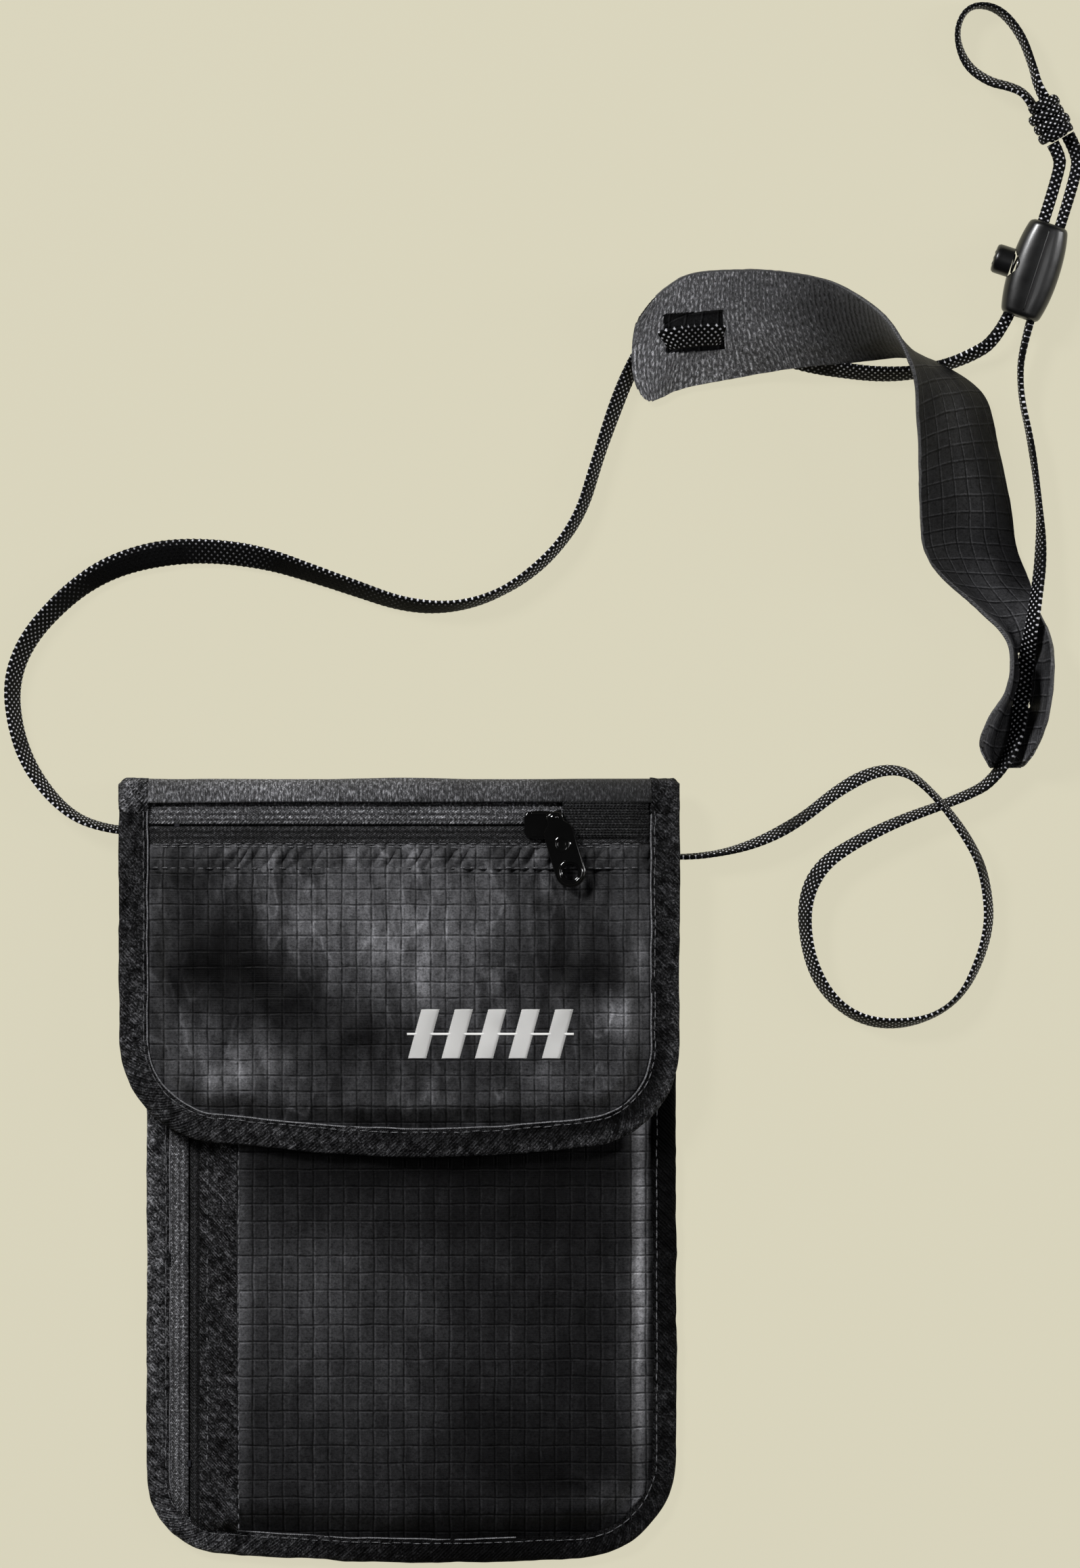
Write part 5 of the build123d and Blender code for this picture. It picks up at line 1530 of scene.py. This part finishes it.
# ------------------------------------------------------------------ the knot
KC = np.array([165.6, 267.87, 5.1])
KA = np.array([-0.5, 0.866, 0.0])
KU = np.array([0.866, 0.5, 0.0])
KZ = np.array([0.0, 0.0, 1.0])
parts = []
# core: strands passing through the wraps
n, k = 60, 24
R = np.zeros((n, k, 3))
U = np.zeros((n, k, 2))
for i, f in enumerate(np.linspace(-1, 1, n)):
    r = 2.95 * math.sqrt(max(0.02, 1 - abs(f) ** 6 * 0.55))
    for j in range(k):
        an = TAU * j / k
        rr = r * (1 + 0.10 * math.cos(2 * an + 0.8))
        R[i, j] = KC + KA * f * 5.3 + KU * rr * math.cos(an) + KZ * rr * math.sin(an)
        U[i, j] = (an * 3.0, f * 5.4)
parts.append(tube_mesh("knot_core", R, U, M_BRAID))
# wraps: a flat braid wound round the core, each turn lying on its neighbour's edge
turns = 3.4
n, k = 420, 14
ts = np.linspace(0, turns * TAU, n)
pr = 3.95 + 0.18 * np.sin(ts * 0.37) + 0.12 * np.sin(ts * 2 + 0.6)
ax = -4.5 + 9.0 * ts / ts[-1] + 0.35 * np.sin(ts + 0.8)
ctr = KC + KA * ax[:, None] + KU * (pr * np.cos(ts))[:, None] + KZ * (np.minimum(pr, 3.95) * np.sin(ts))[:, None]
T = np.gradient(ctr, axis=0)
T /= np.linalg.norm(T, axis=1)[:, None]
rad = KU * np.cos(ts)[:, None] + KZ * np.sin(ts)[:, None]
wid = np.cross(T, rad)
wid /= np.linalg.norm(wid, axis=1)[:, None]
sl = np.r_[0, np.cumsum(np.linalg.norm(np.diff(ctr, axis=0), axis=1))]
endf = sstep(0, 3.0, sl) * sstep(0, 3.0, sl[-1] - sl)
R = np.zeros((n, k, 3))
U = np.zeros((n, k, 2))
for j in range(k):
    an = TAU * j / k
    x, y = math.cos(an), math.sin(an)
    x = np.sign(x) * abs(x) ** 0.8
    y = np.sign(y) * abs(y) ** 0.75
    ww = 1.3 * (0.7 + 0.3 * endf)
    tt = 1.05 * (0.5 + 0.5 * endf)
    R[:, j] = ctr + wid * (x * ww)[:, None] + rad * (y * tt - 0.25)[:, None]
    U[:, j, 0] = x * 1.7
    U[:, j, 1] = sl
wrap = tube_mesh("knot_wrap", R, U, M_BRAID)
parts.append(wrap)
knot = put(join("cord_knot_wraps", parts), "pouch", "cord_braid", "cord_knot")

# --------------------------------------------------------------- the neck band
BANDP = np.array([
    [(61.8, 219.2, 13.6), (59.6, 213.6, 9.4), (59.4, 203.6, 4.9), (62.2, 195.6, 0.72)],
    [(68.4, 225.2, 16.2), (67.4, 216.4, 11.6), (66.8, 207.2, 6.4), (66.5, 197.6, 0.72)],
    [(75.4, 228.4, 17.8), (74.6, 219.2, 12.8), (73.8, 209.8, 7.2), (73.2, 200.2, 0.75)],
    [(88.6, 229.2, 18.3), (88.7, 220.4, 13.4), (90.4, 211.2, 7.6), (92.8, 203.8, 2.0)],
    [(97.3, 228.6, 18.8), (98.2, 220.6, 14.4), (100.4, 212.4, 9.4), (103.0, 205.2, 4.4)],
    [(108.6, 226.4, 20.0), (109.6, 219.4, 15.2), (111.8, 212.2, 10.0), (114.2, 206.4, 4.5)],
    [(117.0, 222.0, 23.6), (117.8, 216.6, 17.4), (119.4, 211.4, 11.2), (121.8, 207.2, 4.6)],
    [(123.2, 216.6, 28.0), (124.4, 213.2, 20.4), (126.2, 210.2, 12.6), (128.8, 207.8, 4.7)],
    [(128.0, 208.6, 31.4), (130.0, 207.9, 22.6), (132.6, 207.2, 13.6), (135.4, 206.6, 4.7)],
    [(130.8, 201.0, 30.8), (134.4, 202.2, 21.6), (138.6, 202.6, 12.2), (142.8, 202.8, 3.4)],
    [(131.4, 191.8, 28.2), (137.6, 194.8, 19.8), (144.0, 196.0, 10.4), (149.4, 196.4, 1.0)],
    [(132.0, 180.2, 24.6), (139.0, 182.8, 17.4), (146.6, 184.0, 8.8), (152.4, 184.4, 0.75)],
    [(132.4, 168.4, 21.2), (140.2, 170.2, 15.0), (149.0, 170.6, 7.4), (155.6, 170.2, 0.75)],
    [(133.2, 159.0, 18.0), (141.6, 160.4, 10.6), (150.4, 160.2, 4.2), (157.0, 159.6, 0.75)],
    [(137.8, 151.6, 15.0), (145.2, 151.2, 6.2), (153.6, 151.0, 1.4), (160.6, 150.4, 1.0)],
    [(146.4, 144.0, 13.0), (151.6, 142.4, 3.2), (158.6, 143.0, 0.8), (162.8, 143.2, 2.6)],
    [(154.2, 136.4, 13.8), (156.6, 134.8, 0.9), (162.4, 136.2, 0.8), (165.4, 136.6, 6.4)],
    [(155.7, 129.4, 14.6), (157.0, 129.0, 0.75), (163.0, 129.6, 0.75), (166.1, 129.8, 14.2)],
    [(154.4, 122.2, 14.4), (156.4, 121.0, 0.75), (162.4, 121.4, 0.75), (165.6, 121.6, 14.4)],
    [(150.2, 115.2, 13.2), (153.6, 113.6, 0.75), (160.2, 113.8, 0.75), (164.4, 114.4, 13.0)],
    [(148.0, 108.6, 10.6), (151.0, 107.2, 0.75), (158.4, 107.4, 0.75), (161.9, 108.0, 9.6)],
    [(150.6, 103.2, 6.6), (151.8, 102.8, 0.78), (157.2, 102.8, 0.78), (159.6, 103.2, 6.0)],
], float)


def catmull(P, u, axis):
    """Catmull-Rom through P along axis 0 at parameters u (0..n-1)."""
    n = len(P)
    i = np.clip(np.floor(u).astype(int), 0, n - 2)
    t = (u - i)[:, None, None]
    p1, p2 = P[i], P[i + 1]
    p0 = np.where((i > 0)[:, None, None], P[np.maximum(i - 1, 0)], 2 * p1 - p2)
    p3 = np.where((i < n - 2)[:, None, None], P[np.minimum(i + 2, n - 1)], 2 * p2 - p1)
    return 0.5 * ((2 * p1) + (p2 - p0) * t + (2 * p0 - 5 * p1 + 4 * p2 - p3) * t ** 2 + (3 * p1 - p0 - 3 * p2 + p3) * t ** 3)


NS, NW = 520, 90
us = np.linspace(0, len(BANDP) - 1, NS)
wsn = np.linspace(0, 3, NW)
B1 = catmull(BANDP, us, 0)
B2 = catmull(B1.transpose(1, 0, 2), wsn, 0).transpose(1, 0, 2)
# smooth along the length
ker = np.hanning(21)
ker /= ker.sum()
for c3 in range(3):
    for j in range(NW):
        a = B2[:, j, c3]
        pad = np.r_[2 * a[0] - a[10:0:-1], a, 2 * a[-1] - a[-2:-12:-1]]
        B2[:, j, c3] = np.convolve(pad, ker, "valid")
length_s = np.r_[0, np.cumsum(np.linalg.norm(np.diff(B2[:, NW // 2], axis=0), axis=1))]
width_s = np.cumsum(np.concatenate([np.zeros((NS, 1)), np.linalg.norm(np.diff(B2, axis=1), axis=2)], 1), axis=1)
tS = np.gradient(B2, axis=0)
tW = np.gradient(B2, axis=1)
BN = np.cross(tS, -tW)
BN /= np.linalg.norm(BN, axis=2)[..., None]
# lift over the cord where it passes under the narrow end
bump = np.exp(-(((B2[..., 0] - 159.2) / 5.0) ** 2 + ((B2[..., 1] - 125.0) / 6.5) ** 2) ** 1.5)
B2[..., 2] += 1.35 * bump
# light creases across the band
lenm = np.repeat(length_s[:, None], NW, 1)
B2 += BN * (0.18 * vnoise(lenm, width_s, 9.0, 131) + 0.08 * vnoise(lenm, width_s, 3.0, 132))[..., None] * sstep(0, 6, lenm)[..., None]
B2[..., 2] = np.maximum(B2[..., 2], 0.62)
tS = np.gradient(B2, axis=0)
tW = np.gradient(B2, axis=1)
BN = np.cross(tS, -tW)
BN /= np.linalg.norm(BN, axis=2)[..., None]
UVB = np.stack([width_s, lenm], -1)
# rounded ends: cut the corners of the two short edges
wtot = width_s[:, -1:]
wf = width_s / wtot
E0 = lenm
E1 = length_s[-1] - lenm


def rounded_end(e, w, wt, r):
    """True outside the band's rounded corner of radius r at an end."""
    d = np.minimum(w, wt - w)
    return (e < r) & (d < r) & ((r - e) ** 2 + (r - d) ** 2 > r * r)


cutm = rounded_end(E0, width_s, wtot, 4.5) | rounded_end(E1, width_s, wtot, 4.0)


def slit_mask(P, cx, cy, rot, w, h):
    a = math.radians(rot)
    x = (P[..., 0] - cx) * math.cos(a) + (P[..., 1] - cy) * math.sin(a)
    y = -(P[..., 0] - cx) * math.sin(a) + (P[..., 1] - cy) * math.cos(a)
    return (np.abs(x) < w / 2) & (np.abs(y) < h / 2)


window = slit_mask(B2, 74.9, 214.0, 4, 14.6, 9.6)
s_a = slit_mask(B2, 68.9, 212.2, 4, 1.6, 4.2)
s_b = slit_mask(B2, 81.0, 213.4, 4, 1.6, 4.2)
s_c = slit_mask(B2, 160.0, 131.6, 8, 4.0, 1.5)
s_d = slit_mask(B2, 158.6, 118.9, 4, 4.0, 1.5)


def quad(m):
    return m[:-1, :-1] | m[1:, :-1] | m[1:, 1:] | m[:-1, 1:]


keepL = ~quad(cutm | window | s_c | s_d)
keepO = ~quad(cutm | s_a | s_b | s_c | s_d)
lin = grid("neck_band_knit", B2 + BN * 0.30, UVB, M_BAND, 0.45, keep=keepL)
out = grid("neck_band_ripstop", B2 - BN * 0.30, UVB, M_RIPB, 0.45, keep=keepO)
auto_flat(lin, 60)
auto_flat(out, 60)


def rim(name, j, side, r, mat):
    """Melted edge bead along one long edge of the band."""
    C = B2[3:-3, j] + BN[3:-3, j] * 0.0
    T = np.gradient(C, axis=0)
    T /= np.linalg.norm(T, axis=1)[:, None]
    A = BN[3:-3, j]
    Bv = np.cross(T, A)
    k = 8
    wob = 1 + 0.18 * vnoise(length_s[3:-3], np.full(len(C), float(j)), 1.2, 140 + j)
    R = np.zeros((len(C), k, 3))
    U = np.zeros((len(C), k, 2))
    for i in range(k):
        an = TAU * i / k
        R[:, i] = C + A * (math.cos(an) * 0.50 * wob)[:, None] + Bv * (math.sin(an) * r * wob)[:, None]
        U[:, i] = np.stack([np.full(len(C), i * 0.3), length_s[3:-3]], -1)
    # stop short of the rounded corners
    m = (length_s[3:-3] > 4.6) & (length_s[3:-3] < length_s[-1] - 4.1)
    return tube_mesh(name, R[m], U[m], mat)


rimA = rim("band_rim_a", 0, -1, 0.22, M_EDGE)
rimB = rim("band_rim_b", NW - 1, 1, 0.22, M_EDGE)
lin = put(lin, "pouch", "soft_knit", "neck_band_lining")
out = put(join("neck_band_ripstop", [out, rimA, rimB]), "pouch", "ripstop", "neck_band_outer")


# ------------------------------------------------------------ floor and light
PAPER = (0.70, 0.665, 0.51)
fm = Mat("paper_backdrop")
nz = fm.noise(30.0, 2.0, 0.5, coord="obj")
fm.color(fm.mixc(nz, tuple(c * 0.06 for c in PAPER), tuple(c * 0.065 for c in PAPER)))
fm.p.inputs["Emission Color"].default_value = (*PAPER, 1)
fm.p.inputs["Emission Strength"].default_value = 0.93
fm.rough(fm.remap(nz, 0, 1, 0.85, 0.95))
fm.p.inputs["Specular IOR Level"].default_value = 0.1
me = bpy.data.meshes.new("floor")
S = 6.0
me.from_pydata([(-S, -S, -0.0004), (S, -S, -0.0004), (S, S, -0.0004), (-S, S, -0.0004)], [], [(0, 1, 2, 3)])
me.uv_layers.new(name="UVMap")
me.materials.append(fm.m)
floor = link(bpy.data.objects.new("floor", me))


def area(name, loc, aim, size, power, color=(1, 1, 1)):
    ld = bpy.data.lights.new(name, "AREA")
    ld.shape = "RECTANGLE"
    ld.size, ld.size_y = size
    ld.energy = power
    ld.color = color
    o = link(bpy.data.objects.new(name, ld))
    o.location = loc
    d = Vector(aim) - Vector(loc)
    o.rotation_euler = d.to_track_quat("-Z", "Y").to_euler()
    return o


mid = (0.03, 0.08, 0.0)
key = area("key_light", (-1.1, 1.25, 1.3), mid, (0.55, 0.45), 46.0)
top = area("top_light", (0.95, 0.1, 2.3), mid, (0.6, 0.6), 5.5)
rim_l = area("rim_light", (1.6, 0.3, 0.75), mid, (0.3, 0.9), 14.0)
world = bpy.data.worlds.new("world")
bpy.context.scene.world = world
world.use_nodes = True
world.node_tree.nodes["Background"].inputs[0].default_value = (0.93, 0.93, 0.9, 1)
world.node_tree.nodes["Background"].inputs[1].default_value = 0.04
bpy.context.scene.view_settings.view_transform = "Standard"
